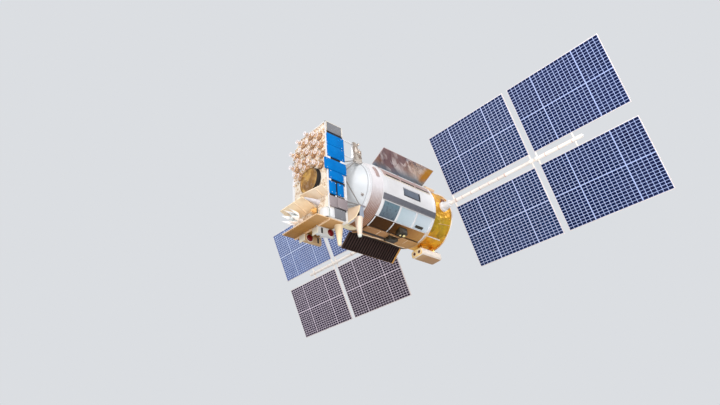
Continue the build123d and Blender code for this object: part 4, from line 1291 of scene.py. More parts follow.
        self.fasteners.piece("aft_case_screws", spots, 0.006, 0.004, SILVER)

    def build(self) -> None:
        """Builds the whole aft end."""
        self.build_drum()
        self.build_adapter()
        self.build_drives()
        self.build_fittings()
        self.build_case()


@dataclass
class Shell:
    """White thermal shell with its window, louvres, beam, strip, keel and belly."""

    fasteners: Fasteners
    window_x: tuple[float, float] = (1.1905, 1.7156)
    window_angles: tuple[float, float] = (82.0, 98.0)
    window_depth: float = 0.030
    louvre_x: tuple[float, float] = (0.7599, 2.2832)
    louvre_angles: tuple[float, float] = (118.0, 145.0)
    louvre_depth: float = 0.022
    bay_count: int = 3
    bar_width: float = 0.046
    strip_x: tuple[float, float] = (0.7909, 2.2408)
    slot_gap: float = 0.060
    slot_angles: tuple[float, float] = (68.1, 72.0)

    def level(self, x: float, angle: float) -> float:
        """Gives the shell's radius at a place, lower in its sunk fields.

        Args:
            x: the station.
            angle: the angle.

        Returns:
            The radius.
        """
        for xs, angles, depth in ((self.window_x, self.window_angles, self.window_depth),
                                  (self.louvre_x, self.louvre_angles, self.louvre_depth)):
            if xs[0] < x < xs[1] and angles[0] < angle < angles[1]:
                return AT.shell_radius - depth
        return AT.shell_radius

    def build_skin(self) -> None:
        """Makes the shell's skin with the two sunk fields and its end faces, tape and buttons."""
        angles = sorted({float(a) for a in range(0, 361, 2)} | {*self.window_angles, *self.louvre_angles})
        stations = sorted({AT.shell_start, AT.band_start, *self.window_x, *self.louvre_x})
        shape = Shape()

        def quad(*corners: tuple[float, float, float]) -> None:
            """Adds a face from stations, radii and angles."""
            shape.bm.faces.new([shape.bm.verts.new(round_body(*corner)) for corner in corners])

        def mid_level(i: int, j: int) -> float:
            """Gives the radius in the middle of a field of the grid."""
            j %= len(angles) - 1
            return self.level((stations[i] + stations[i + 1]) / 2, (angles[j] + angles[j + 1]) / 2)

        for i, (x0, x1) in enumerate(zip(stations, stations[1:])):
            for j, (a0, a1) in enumerate(zip(angles, angles[1:])):
                r, beside = mid_level(i, j), mid_level(i, j + 1)
                quad((x0, r, a0), (x1, r, a0), (x1, r, a1), (x0, r, a1))
                if beside != r:
                    quad((x0, r, a1), (x1, r, a1), (x1, beside, a1), (x0, beside, a1))
                ahead = mid_level(i + 1, j) if i < len(stations) - 2 else r
                if ahead != r:
                    quad((x1, r, a0), (x1, r, a1), (x1, ahead, a1), (x1, ahead, a0))
        for x in (AT.shell_start, AT.band_start):
            for a0, a1 in zip(angles, angles[1:]):
                quad((x, 0.66, a0), (x, AT.shell_radius, a0), (x, AT.shell_radius, a1), (x, 0.66, a1))
        shape.piece("shell_skin", SHELL_WHITE, slot="white_blanket", replaces=["thermal_shell"], smooth=40.0, merge=True)
        seams = Shape()
        for x in (0.98, 2.19):
            for span in ((0.0, 36.0), (72.8, 106.3), (214.0, 360.0)):
                seams.curved((x - 0.011, x + 0.011), span, (0.744, 0.7462), (1, int((span[1] - span[0]) / 3)))
        for angle in (276.0, 326.0):
            seams.curved((0.77, 2.31), (angle, angle + 1.6), (0.744, 0.7462), (1, 2))
        seams.piece("shell_tape", WHITE, slot="white_blanket")
        spots = [spot for x in (0.82, 2.27) for spot in hoop_spots(x, 0.7455, 5, (74.0, 105.0))]
        spots += [spot for x in (0.82, 1.5, 2.27) for spot in hoop_spots(x, 0.7455, 12, (216.0, 354.0))]
        self.fasteners.piece("shell_buttons", spots, 0.009, 0.004, WHITE, "white_blanket", 12)

    def build_window(self) -> None:
        """Makes the window's dark edges, which are painted shadow in its recess, and its slatted shutter."""
        (x0, x1), (a0, a1) = self.window_x, self.window_angles
        # Dark strips at both ends and along the lower side of the recess: painted shadow.
        lip = Shape()
        for xs, low in (((x0, x0 + 0.012), a0), ((x1 - 0.016, x1), a0), ((x0 + 0.012, x1 - 0.016), a1 - 2.2)):
            lip.curved(xs, (low, a1), (0.716, 0.7435), (1, 6))
        lip.piece("window_recess_shadow", DARK, slot="dark_grey")
        leaf = Shape()
        leaf.curved((x0 + 0.012, x1 - 0.016), (a0 + 0.3, a1 - 2.2), (0.715, 0.7225), (1, 8))
        pitch = (a1 - a0 - 3.2) / 7
        for i in range(7):
            leaf.curved((x0 + 0.022, x1 - 0.026), (a0 + 0.6 + i * pitch, a0 + 2.05 + i * pitch), (0.722, 0.7275), (1, 2))
        leaf.piece("window_leaves", Coating("window_grey", (0.16, 0.19, 0.24), (0.12, 0.14, 0.18), 0.4),
                   slot="grey_paint", replaces=["window_shutter"])

    def build_louvres(self) -> None:
        """Makes the louvre blades of the bays and the bars between them."""
        start, end = self.louvre_x
        low, high = self.louvre_angles[0] + 0.2, self.louvre_angles[1] - 0.2
        pitch = (end - start) / self.bay_count
        floor = AT.shell_radius - self.louvre_depth
        blades = 16
        step = (high - low - 0.6) / blades
        light, dark = Shape(), Shape()
        for i in range(self.bay_count):
            shape = dark if i == self.bay_count - 1 else light
            x0, x1 = start + i * pitch + 0.002, start + (i + 1) * pitch - self.bar_width - 0.002
            shape.curved((x0, x1), (low, high), (floor, floor + 0.006), (1, 10))
            for k in range(blades):
                a = low + 0.4 + k * step
                shape.curved((x0 + 0.012, x1 - 0.012), (a, a + step - 0.26), (floor + 0.005, floor + 0.0098), (1, 2))
            for edge in ((x0, x0 + 0.012), (x1 - 0.012, x1)):
                shape.curved(edge, (low, high), (floor, floor + 0.011), (1, 10))
        light.piece("louvre_blades_pale", Gradient("louvre_pale", "X", (
            (0.75, (0.68, 0.75, 0.80)), (1.2, (0.62, 0.71, 0.76)), (1.8, (0.50, 0.61, 0.66))), 0.36),
            slot="louvre_glass", replaces=["louvre_panels_light"])
        # The dark louvres turn lighter teal towards the top: painted highlight.
        dark.piece("louvre_blades_dark", Gradient("louvre_dark_painted_highlight", "Z", (
            (-0.62, (0.075, 0.105, 0.14)), (-0.48, (0.13, 0.18, 0.22)), (-0.34, (0.15, 0.25, 0.30))), 0.3),
            slot="dark_grey", replaces=["louvre_panel_dark"])
        refine("shell_bars", "shell_bars_fine", WHITE, "white_paint")

    def build_beam(self) -> None:
        """Makes the grey beam with lighter edges and rivets, and the pink strip with dark slots."""
        refine("shell_beam", "beam_body", BEAM_GREY, "grey_paint", 0.003)
        cap = Shape()
        for angles in ((106.8, 107.9), (114.9, 116.2)):
            cap.curved((0.71, 2.295), angles, (0.766, 0.7690), (1, 2))
        cap.piece("beam_edges", GREY, slot="grey_paint")
        spots = [spot for angle in (107.3, 115.5) for spot in row(
            round_body(0.74, 0.769, angle), round_body(2.27, 0.769, angle), 42, round_body(0, 1, angle))]
        self.fasteners.piece("beam_rivets", spots, 0.0042, 0.003, GREY, "grey_paint")
        refine("slotted_strip", "strip_body", STRIP_PINK, "mauve_grey", 0.003)
        low, high = self.strip_x
        length = (high - low - 4 * self.slot_gap) / 3
        slots = Shape()
        for i in range(3):
            x0 = low + self.slot_gap + i * (length + self.slot_gap)
            slots.curved((x0 - 0.004, x0 + length + 0.004), self.slot_angles, (0.745, 0.7622), (1, 3))
        slots.piece("strip_slots", BROWN_BLACK, slot="black")
        edge = Shape()
        edge.curved((low, high), (72.1, 72.75), (0.745, 0.7625), (1, 2))
        edge.piece("strip_edge", PALE_CREAM, slot="cream_paint")

    def build_belly(self) -> None:
        """Makes the brown blanket under the shell, the keel with its trim and the dark instruments."""
        skin = Shape()
        # The brown blanket darkens towards the band, partly in its own colour and partly as painted shadow.
        skin.curved((0.760, AT.band_start), (146.0, 214.0), (0.744, 0.7478), (60, 30),
                    lambda p: 0.004 * (crumple(p, 0.14, 2) - 0.5))
        skin.piece("belly_blanket", Gradient("belly_brown_and_shadow", "X", (
            (0.7, (0.50, 0.27, 0.085)), (1.2, (0.32, 0.15, 0.045)), (1.45, (0.20, 0.085, 0.02)), (1.62, (0.070, 0.026, 0.004)),
            (2.4, (0.040, 0.013, 0.0015))), 0.5, specular=0.12), slot="tan_panel", smooth=50.0)
        refine("keel_panel", "keel_body", Gradient("keel_tan", "X", (
            (0.7, (0.54, 0.30, 0.10)), (1.5, (0.46, 0.24, 0.10)), (2.4, (0.28, 0.14, 0.06))), 0.5, specular=0.15),
            "tan_panel", 0.005)
        trim = Shape()
        for x in (1.10, 1.50, 1.92):
            trim.curved((x - 0.006, x + 0.006), (168.4, 180.0), (0.778, 0.7805), (1, 8))
        line = ((2.27, 187.0), (2.18, 190.5), (2.10, 194.0), (1.99, 192.0), (1.87, 192.4), (1.78, 189.6), (1.67, 190.2),
                (1.56, 188.6), (1.45, 190.2), (1.33, 191.4), (1.18, 192.6), (1.02, 193.8), (0.86, 192.0))
        trim.tube([round_body(x, 0.7815, angle) for x, angle in line], 0.011)
        trim.piece("keel_trim", CREAM, slot="cream_paint")
        # Dark plates on the keel beyond its trim, at its front and along its edge: painted shadow.
        shadow = Shape()
        shadow.curved((0.80, 2.27), (195.0, 205.0), (0.776, 0.7800), (1, 6))
        shadow.curved((1.58, 2.28), (180.8, 187.0), (0.776, 0.7805), (1, 4))
        shadow.curved((0.775, 2.26), (166.3, 167.7), (0.744, 0.7560), (1, 2))
        shadow.piece("keel_painted_shadows", BROWN_BLACK, slot="black")
        self.fasteners.piece("keel_rivets", row(round_body(0.80, 0.7805, 169.0), round_body(2.27, 0.7805, 169.0), 36,
                                                round_body(0, 1, 169.0)), 0.0045, 0.003, SILVER)
        units = Shape()
        units.cad("belly_units", 0.005)
        units.bar((1.42, 0.33, -0.775), (1.42, 0.345, -0.825), 0.034, 0.028, 20, 0.004)
        units.bar((1.50, 0.30, -0.775), (1.50, 0.315, -0.815), 0.022, 0.020, 20, 0.004)
        units.tube([(1.36, 0.25, -0.79), (1.40, 0.20, -0.80), (1.46, 0.15, -0.83), (1.50, 0.12, -0.84)], 0.009)
        units.tube([(1.60, 0.12, -0.80), (1.68, 0.16, -0.79), (1.74, 0.22, -0.775), (1.80, 0.27, -0.745)], 0.007)
        units.bar((1.62, 0.04, -0.85), (1.70, 0.04, -0.85), 0.032, 0.040, 24, 0.004)
        units.piece("belly_instruments", Coating("unit_olive", (0.052, 0.038, 0.018), (0.012, 0.009, 0.006), 0.45, blotch=9.0), slot="black", replaces=["belly_units"])
        lens = Shape()
        for place, r in (((1.42, 0.345, -0.826), 0.030), ((1.50, 0.315, -0.816), 0.020)):
            lens.turned([(-0.004, r), (0.006, 0.9 * r), (0.011, 0.5 * r), (0.013, 0.0)], placement(place, (1, 0, 0), (0, 0.3, -1)),
                        24)
        # The lenses' pale yellow-white is partly brass and partly painted highlight.
        lens.piece("belly_lenses", Coating("lens_brass_and_glint", (0.94, 0.84, 0.44), (0.86, 0.70, 0.30), 0.3), slot="gold_foil")

    def build(self) -> None:
        """Builds the whole shell."""
        self.build_skin()
        self.build_window()
        self.build_louvres()
        self.build_beam()
        self.build_belly()


@dataclass
class FrontBody:
    """Ribbed band, ring and dome at the front of the shell."""

    fasteners: Fasteners
    rib_count: int = 8
    rib_pitch: float = 0.034
    rib_depth: float = 0.014
    taper: float = 0.039
    seam_radius: float = 0.650

    def build_band(self) -> None:
        """Turns the ribbed band and the ring, and adds pale strips on the crests and the ring's bolts. The band's
        grey-pink grooves and brown bottom are painted shade; the crest strips are painted highlight, browner towards
        the bottom as painted shade.
        """
        profile = [(AT.band_start, 0.66), (AT.band_start, AT.shell_radius - 0.002)]
        crests = Shape()
        p = self.rib_pitch
        for i in range(self.rib_count):
            x = AT.band_start + i * p
            crest = AT.shell_radius - self.taper * (i + 1) / self.rib_count
            deep = crest - self.rib_depth
            profile += [(x + 0.22 * p, deep + 0.003), (x + 0.30 * p, deep), (x + 0.50 * p, deep),
                        (x + 0.58 * p, deep + 0.003), (x + 0.76 * p, crest - 0.002), (x + 0.84 * p, crest),
                        (x + 0.96 * p, crest), (x + p, crest - 0.001)]
            # Strips on the crests, lighter than the grooves: painted highlight, browner towards the bottom as painted
            # shade.
            crests.curved((x + 0.66 * p, x + 0.98 * p), (108.0, 172.0), (crest - 0.006, crest + 0.0012), (1, 30))
        profile.append((AT.ring_start, 0.66))
        band = Shape()
        band.turned(profile, X_AXIS, 160)
        # The band's colour is painted shade: grey-pink in the grooves and brown towards the bottom, where its underside
        # lies in shadow.
        band.piece("ribbed_band_fine", Gradient("band_painted_shade", "Z", (
            (-0.75, (0.36, 0.16, 0.06)), (-0.62, (0.26, 0.13, 0.09)), (-0.48, (0.36, 0.25, 0.22)),
            (-0.30, (0.50, 0.44, 0.44)), (-0.12, (0.62, 0.59, 0.61)), (0.75, (0.68, 0.66, 0.67))), 0.5, specular=0.2),
            slot="white_paint",
            replaces=["ribbed_band"], smooth=50.0, merge=True)
        crests.piece("band_crest_painted_light", Gradient("crest_painted_light_and_shade", "Z", (
            (-0.72, (0.40, 0.24, 0.17)), (-0.48, (0.52, 0.41, 0.38)), (-0.15, (0.66, 0.62, 0.64)))), slot="white_paint")
        ring = Shape()
        x0, x1, r = AT.ring_start, AT.dome_start, AT.ring_radius
        ring.turned([(x0, 0.64), (x0, r - 0.003), (x0 + 0.003, r), (x1 - 0.003, r), (x1, r - 0.003), (x1, 0.64)],
                    X_AXIS, 160)
        ring.piece("front_ring_fine", WHITE, slot="white_paint", replaces=["front_ring"], merge=True)
        spots = [(round_body(AT.dome_start + 0.0005, 0.689, 7.5 * i), (1, 0, 0)) for i in range(48)]
        self.fasteners.piece("ring_bolts", spots, 0.007, 0.006, SILVER, sides=6)

    def on_dome(self, y: float, z: float) -> Vector:
        """Gives the point of the dome's surface over a place in its plane."""
        drop = SPHERE - math.sqrt(SPHERE ** 2 - y * y - z * z)
        return Vector((AT.dome_start + AT.dome_height - drop, y, z))

    def build_dome(self) -> None:
        """Turns the dome, with a seam near its edge, and adds its bolt and the strap on the band."""
        arc = []
        for i in range(41):
            radius = AT.dome_radius * math.sin(math.pi / 2 * i / 40)
            arc.append((self.on_dome(radius, 0.0).x, radius))
        dome = Shape()
        dome.turned(arc + [(AT.dome_start - 0.01, AT.dome_radius)], X_AXIS, 160)
        dome.piece("dome_skin", COOL_WHITE, slot="white_paint", replaces=["front_dome"], smooth=50.0, merge=True)
        seam = Shape()
        lip = [(self.on_dome(r, 0.0).x + lift, r) for r, lift in (
            (self.seam_radius - 0.006, 0.001), (self.seam_radius, 0.004), (self.seam_radius + 0.007, 0.001))]
        seam.turned([*lip, (lip[2][0] - 0.006, lip[2][1]), (lip[0][0] - 0.006, lip[0][1])], X_AXIS, 160, loop=True)
        seam.piece("dome_seam", Coating("seam_grey", (0.40, 0.40, 0.42), (0.32, 0.32, 0.34)), slot="grey_paint", merge=True)
        spot = self.on_dome(0.508, -0.307)
        place = placement(spot, (0, 0, 1), spot - Vector((AT.dome_start + AT.dome_height - SPHERE, 0, 0)))
        bolt = Shape()
        bolt.turned([(-0.004, 0.0), (-0.004, 0.032), (0.004, 0.032), (0.007, 0.029), (0.007, 0.018), (0.030, 0.017),
                     (0.033, 0.013), (0.033, 0.0)], place, 24)
        bolt.tube([place @ Vector(p) for p in ((0, 0, 0.012), (0.05, 0.02, 0.010), (0.11, 0.02, 0.004))], 0.005)
        bolt.piece("dome_bolt", Coating("bolt_grey", (0.26, 0.22, 0.20), (0.17, 0.14, 0.12), 0.4), slot="dark_grey",
                   merge=True)
        skirt = Shape()
        skirt.curved((AT.band_start + 0.01, AT.dome_start), (186.5, 208.0), (0.690, 0.738), (1, 8))
        skirt.piece("band_skirt", Coating("skirt_cream", (0.96, 0.88, 0.64), (0.92, 0.78, 0.48)), slot="cream_paint")
        strap = Shape()
        strap.curved((AT.band_start + 0.07, AT.band_start + 0.145), (58.0, 80.0), (0.716, 0.7395), (2, 12))
        strap.piece("band_strap", STRIP_PINK, slot="mauve_grey")

    def build(self) -> None:
        """Builds the front of the body."""
        self.build_band()
        self.build_dome()


@dataclass
class Covers:
    """The two covers that stand open on the shell."""

    slats: SlatRow
    foil_x: tuple[float, float] = (0.6995, 2.2995)
    foil_angle: float = 36.0
    foil_width: float = 0.455
    foil_tilt: float = 61.0
    ribbed_x: tuple[float, float] = (0.6995, 2.2898)
    ribbed_angle: float = 213.0
    ribbed_width: float = 0.412
    ribbed_tilt: float = 229.0
    rib_count: int = 22

    def hinge_frame(self, x: float, angle: float, tilt: float) -> Matrix:
        """Gives a cover's frame: local X along the body, local Y out along the cover.

        Args:
            x: where the cover starts.
            angle: angle of its hinge round the body.
            tilt: the way that it stands out.

        Returns:
            The matrix.
        """
        out = round_body(0, 1.0, tilt)
        return placement(round_body(x, 0.755, angle), (1, 0, 0), Vector((1, 0, 0)).cross(out))

    def build_foil(self) -> None:
        """Makes the crinkled foil cover as one folded sheet, its edge frame and its hinges."""
        place = self.hinge_frame(self.foil_x[0], self.foil_angle, self.foil_tilt)
        length = self.foil_x[1] - self.foil_x[0]
        width = self.foil_width

        def folded(share: float, across: float) -> Vector:
            """Gives a point of the sheet, whose sides lie on each other like a flat tube."""
            side = 1.0 if across < 0.5 else -1.0
            v = 0.004 + (width - 0.006) * (2 * across if across < 0.5 else 2 - 2 * across)
            u = length * share
            edge = max(0.0, min(1.0, u / 0.05, (length - u) / 0.05, (width - v) / 0.05, v / 0.05))
            fold = crumple(Vector((0.30 * u + 0.17 * v, 1.3 * v - 0.7 * u, 4.0)), 0.30, 2)
            fold += 0.6 * noise.noise(Vector((u * 3.2, v * 2.4, 1.0)))
            return place @ Vector((u, v, side * 0.0035 * edge + 0.034 * edge * (fold - 0.45)))

        sheet = Shape()
        sheet.surface(folded, (150, 88))
        sheet.piece("foil_cover_sheet", COVER_FOIL, slot="silver_foil", replaces=["foil_cover"], smooth=24.0, merge=True)
        frame_bars = Shape()
        corners = [(0.002, 0.02), (0.002, width - 0.004), (length - 0.002, width - 0.004), (length - 0.002, 0.02)]
        for a, b in zip(corners, corners[1:]):
            frame_bars.bar(place @ Vector((*a, 0)), place @ Vector((*b, 0)), 0.0062, sides=10)
        for u in (0.24, 0.81, 1.38):
            frame_bars.bar(place @ Vector((u - 0.03, 0.006, 0)), place @ Vector((u + 0.03, 0.006, 0)), 0.011,
                           round_off=0.002)
        frame_bars.piece("foil_cover_frame", STRIP_PINK, slot="cream_paint")

    def build_ribbed(self) -> None:
        """Makes the ribbed cover: floor plate, ribs, edge frame, hinges and the gold end."""
        place = self.hinge_frame(self.ribbed_x[0], self.ribbed_angle, self.ribbed_tilt)
        length, width = self.ribbed_x[1] - self.ribbed_x[0], self.ribbed_width
        floor = Shape()
        floor.box((0.0, 0.004, -0.005), (length, width, 0.003), 0.0015, place)
        floor.piece("ribbed_cover_floor", RIB_FLOOR, slot="ribbed_dark", replaces=["ribbed_cover"])
        pitch = length / self.rib_count
        ribs = Shape()
        turn = Matrix.Rotation(math.radians(-90), 4, "Z")
        ribs.add(self.slats.mesh(self.rib_count, pitch, (width - 0.03, 0.45 * pitch, 0.0115), RIB_BROWN),
                 place @ Matrix.Translation((pitch / 2, width / 2, 0.0085)) @ turn)
        bmesh.ops.bevel(ribs.bm, geom=list(ribs.bm.edges), offset=0.0018, segments=1, affect="EDGES")
        ribs.piece("ribbed_cover_ribs", RIB_BROWN, slot="ribbed_dark")
        edges = Shape()
        edges.boxes((((0.0, width - 0.010, -0.005), (length, width, 0.013)),
                     ((length - 0.010, 0.0, -0.005), (length, width, 0.013))), 0.002, place)
        edges.piece("ribbed_cover_frame", Coating("frame_brown", (0.16, 0.085, 0.04), (0.10, 0.05, 0.025), 0.45),
                    slot="ribbed_dark")
        end = Shape()
        end.box((-0.002, 0.004, -0.006), (0.046, width + 0.001, 0.015), 0.003, place)
        end.piece("ribbed_cover_end", AMBER, slot="gold_foil")
        hinges = Shape()
        for u in (0.25, 0.83, 1.41):
            hinges.bar(place @ Vector((u - 0.04, 0.004, -0.004)), place @ Vector((u + 0.04, 0.004, -0.004)), 0.010,
                       round_off=0.002)
        hinges.piece("ribbed_cover_hinges", CREAM, slot="cream_paint")

    def build(self) -> None:
        """Builds both covers."""
        self.build_foil()
        self.build_ribbed()


@dataclass
class Truss:
    """Struts, rods, thruster bracket, gussets and horn between the ring and the payload module."""

    fasteners: Fasteners
    strut_radius: float = 0.012
    strut_heights: tuple[float, ...] = (-0.110, -0.640, -0.745)
    foot_heights: tuple[float, ...] = (0.270, 0.050)
    rod_heights: tuple[float, ...] = (0.896, 0.520)
    joint: Vector = round_body(2.770, AT.ring_radius, 140.0)
    foot: Vector = round_body(2.619, AT.ring_radius, 40.0)

    def strut(self, shape: Shape, start: Sequence[float], end: Sequence[float], radius: float) -> None:
        """Adds a strut with swaged ends.

        Args:
            shape: what it is added to.
            start: its first end.
            end: its second end.
            radius: its radius.
        """
        first, last = Vector(start), Vector(end)
        run = (last - first).normalized()
        shape.bar(first, last, radius * 0.9)
        for point, way in ((first, run), (last, -run)):
            shape.bar(point + way * 0.02, point + way * 0.06, radius * 1.25, radius * 0.92, 16, 0.002)

    def build_struts(self) -> None:
        """Makes the struts, their node and the white rods."""
        inside, edge = AT.module_back + self.strut_radius, AT.module_half - self.strut_radius
        struts = Shape()
        sole = (2.740, self.foot.y, self.foot.z)
        for start, heights in ((self.joint, self.strut_heights), (sole, self.foot_heights)):
            for z in heights:
                self.strut(struts, start, (inside, edge, z), self.strut_radius)
        for turn, z in ((206.6, -0.800), (-26.6, 0.800)):
            self.strut(struts, round_body(2.619, AT.ring_radius - 0.016, turn), (inside, -0.430, z), 0.016)
        struts.piece("struts_fine", Coating("strut_grey", (0.26, 0.25, 0.24), (0.17, 0.14, 0.12), 0.42),
                     slot="dark_grey", replaces=["truss_struts"])
        node = Shape()
        place, _ = along(round_body(2.619, 0.690, 140.0), self.joint)
        node.turned([(0.0, 0.0), (0.0, 0.022), (0.12, 0.020), (0.135, 0.018), (0.148, 0.024), (0.165, 0.024),
                     (0.174, 0.018), (0.176, 0.0)], place, 24)
        node.piece("strut_node", Coating("node_grey", (0.30, 0.28, 0.30), (0.22, 0.18, 0.17), 0.45), slot="dark_grey",
                   merge=True)
        rods = Shape()
        for z in self.rod_heights:
            self.strut(rods, (2.800, self.foot.y, z), (inside, self.foot.y + 0.015, z), 0.018)
        rods.piece("rods_fine", WHITE, slot="white_paint", replaces=["truss_rods"])

    def build_bracket(self) -> None:
        """Makes the wrapped thruster bracket with its dark framed panel, nozzles and pipes."""
        at = Matrix.Translation((AT.dome_start, self.foot.y, self.foot.z))
        body = Shape()
        body.cad("thruster_bracket", 0.010, 3)
        body.boxes((((0.176, -0.010, 0.384), (0.214, 0.045, 0.400)), ((0.150, 0.058, -0.045), (0.205, 0.070, 0.05))),
                   0.005, at)
        body.piece("bracket_body", Gradient("bracket_cloth", "X", (
            (2.64, (0.46, 0.40, 0.34)), (2.80, (0.50, 0.44, 0.38)), (2.85, (0.27, 0.23, 0.20))), 0.5, 22.0),
                   slot="white_paint", replaces=["thruster_bracket"], smooth=50.0)
        side = at @ Matrix(((1, 0, 0, 0), (0, 0, 1, 0.060), (0, 1, 0, 0), (0, 0, 0, 1)))
        panel = Shape()
        corners = [(0.076, 0.104), (0.176, 0.350), (0.203, 0.350), (0.203, 0.104)]
        for a, b in zip(corners, corners[1:] + corners[:1]):
            panel.bar(side @ Vector((*a, 0)), side @ Vector((*b, 0)), 0.0065, sides=8)
        panel.boxes((((0.040, 0.068, 0.02), (0.110, 0.082, 0.075)), ((0.045, 0.084, 0.120), (0.085, 0.0855, 0.190))),
                    0.003, at)
        panel.piece("bracket_panel", Coating("panel_brown", (0.26, 0.20, 0.16), (0.16, 0.11, 0.08)), slot="black")
        sheet = Shape()
        sheet.plate([(0.084, 0.110), (0.176, 0.336), (0.196, 0.336), (0.196, 0.110)], at @ Matrix((
            (1, 0, 0, 0), (0, 0, 1, 0.0525), (0, 1, 0, 0), (0, 0, 0, 1))), 0.004)
        sheet.box((0.022, -0.020, -0.062), (0.214, 0.056, -0.052), 0.003, at)
        sheet.piece("bracket_sheet", Coating("sheet_pale", (0.82, 0.78, 0.74), (0.66, 0.54, 0.44)), slot="cream_paint")
        nozzles = Shape()
        for way, dx, dy, dz in (((0.2, 0.4, 1.0), 0.10, 0.030, 0.30), ((-0.3, 0.3, 1.0), 0.070, 0.030, 0.22),
                                ((0.0, 1.0, -0.2), 0.158, 0.095, 0.12), ((0.0, 1.0, 0.1), 0.158, 0.095, 0.30)):
            nozzles.turned([(-0.03, 0.0), (-0.03, 0.014), (0.012, 0.013), (0.018, 0.010), (0.044, 0.024),
                            (0.046, 0.024), (0.044, 0.021), (0.020, 0.006), (0.020, 0.0)],
                           at @ placement((dx, dy, dz), (1, 0, 0), way), 24)
        nozzles.piece("thruster_nozzles", Machined("nozzle_metal", (0.62, 0.50, 0.42), 0.34), slot="aluminium",
                      merge=True)
        pipes = Shape()
        for dy in (0.02, -0.01):
            pipes.tube([at @ Vector((x, dy, z)) for x, z in (
                (0.214, 0.37), (0.226, 0.33), (0.226, 0.14), (0.229, 0.03), (0.222, -0.02), (0.200, -0.04))], 0.0055)
        pipes.piece("thruster_pipes", SILVER, slot="aluminium")

    def build_gussets(self) -> None:
        """Makes the gussets, cream outside and orange inside, with edge flanges and rivets."""
        refine("gussets", "gusset_plates", Coating("gusset_cream", (0.70, 0.53, 0.38), (0.62, 0.43, 0.27)),
               "cream_paint", 0.002)
        low = AT.module_bottom
        x0 = self.joint.x + 0.002
        outline = [(3.194, low + 0.300), (3.194, low + 0.018), (2.917, low + 0.266), (2.810, low + 0.448),
                   (x0 + 0.004, self.joint.z - 0.010), (x0 + 0.04, self.joint.z - 0.032)]
        lining, flanges = Shape(), Shape()
        for y in (0.4535, -0.4575):
            lining.plate(outline, Matrix(((1, 0, 0, 0), (0, 0, 1, y), (0, 1, 0, 0), (0, 0, 0, 1))), 0.0025)
        for y in (0.463, -0.463):
            for a, b in zip(outline[1:4], outline[2:5]):
                place, length = along((a[0], y, a[1] - 0.010), (b[0], y, b[1] - 0.010))
                flanges.box((-0.011, -0.011, 0.0), (0.011, 0.011, length), 0.002, place)
        lining.piece("gusset_lining", Foil("orange_foil", ((0.2, (0.72, 0.30, 0.08)), (0.8, (0.84, 0.46, 0.18))), 12.0,
                                           0.008, 0.4, 0.4), slot="cream_paint")
        flanges.piece("gusset_flanges", Coating("flange_cream", (0.92, 0.78, 0.52), (0.82, 0.62, 0.36)),
                      slot="cream_paint")
        spots = [spot for a, b in zip(outline[1:4], outline[2:5])
                 for spot in row((a[0], 0.4745, a[1] - 0.006), (b[0], 0.4745, b[1] - 0.006), 7, (0, 1, 0))]
        self.fasteners.piece("gusset_rivets", spots, 0.005, 0.003, SILVER)

    def build_horn(self) -> None:
        """Makes the tapered horn with its pale tip, and the grey block that carries it."""
        top = AT.module_bottom + 0.318
        place = placement((self.joint.x - 0.014, 0.380, top), (1, 0, 0), (0, 0, -1))
        horn = Shape()
        horn.turned([(0.0, 0.0), (0.0, 0.080), (0.004, 0.090), (0.016, 0.092), (0.024, 0.088), (0.360, 0.044),
                     (0.364, 0.047), (0.372, 0.047), (0.376, 0.043), (0.380, 0.0)], place, 56)
        horn.piece("horn_body", Coating("horn_peach", (0.83, 0.70, 0.59), (0.76, 0.57, 0.43), 0.45),
                   slot="cream_paint", replaces=["support_horn"], merge=True)
        tip = Shape()
        tip.turned([(0.378, 0.0), (0.378, 0.041), (0.408, 0.039), (0.414, 0.034), (0.414, 0.020), (0.406, 0.018),
                    (0.406, 0.0)], place, 40)
        tip.piece("horn_tip", Coating("tip_white", (0.78, 0.82, 0.76), (0.64, 0.68, 0.62), 0.4), slot="white_paint")
        mount = Shape()
        mount.box((2.671, 0.361, top), (2.799, 0.453, self.joint.z - 0.002), 0.006)
        mount.piece("horn_mount", Coating("mount_blue", (0.34, 0.38, 0.46), (0.24, 0.27, 0.33)), slot="grey_paint")
        stripe = Shape()
        stripe.box((2.790, 0.400, top + 0.01), (2.801, 0.456, self.joint.z - 0.012), 0.002)
        stripe.piece("horn_mount_stripe", BROWN_BLACK, slot="black")

    def build(self) -> None:
        """Builds the truss."""
        self.build_struts()
        self.build_bracket()
        self.build_gussets()
        self.build_horn()


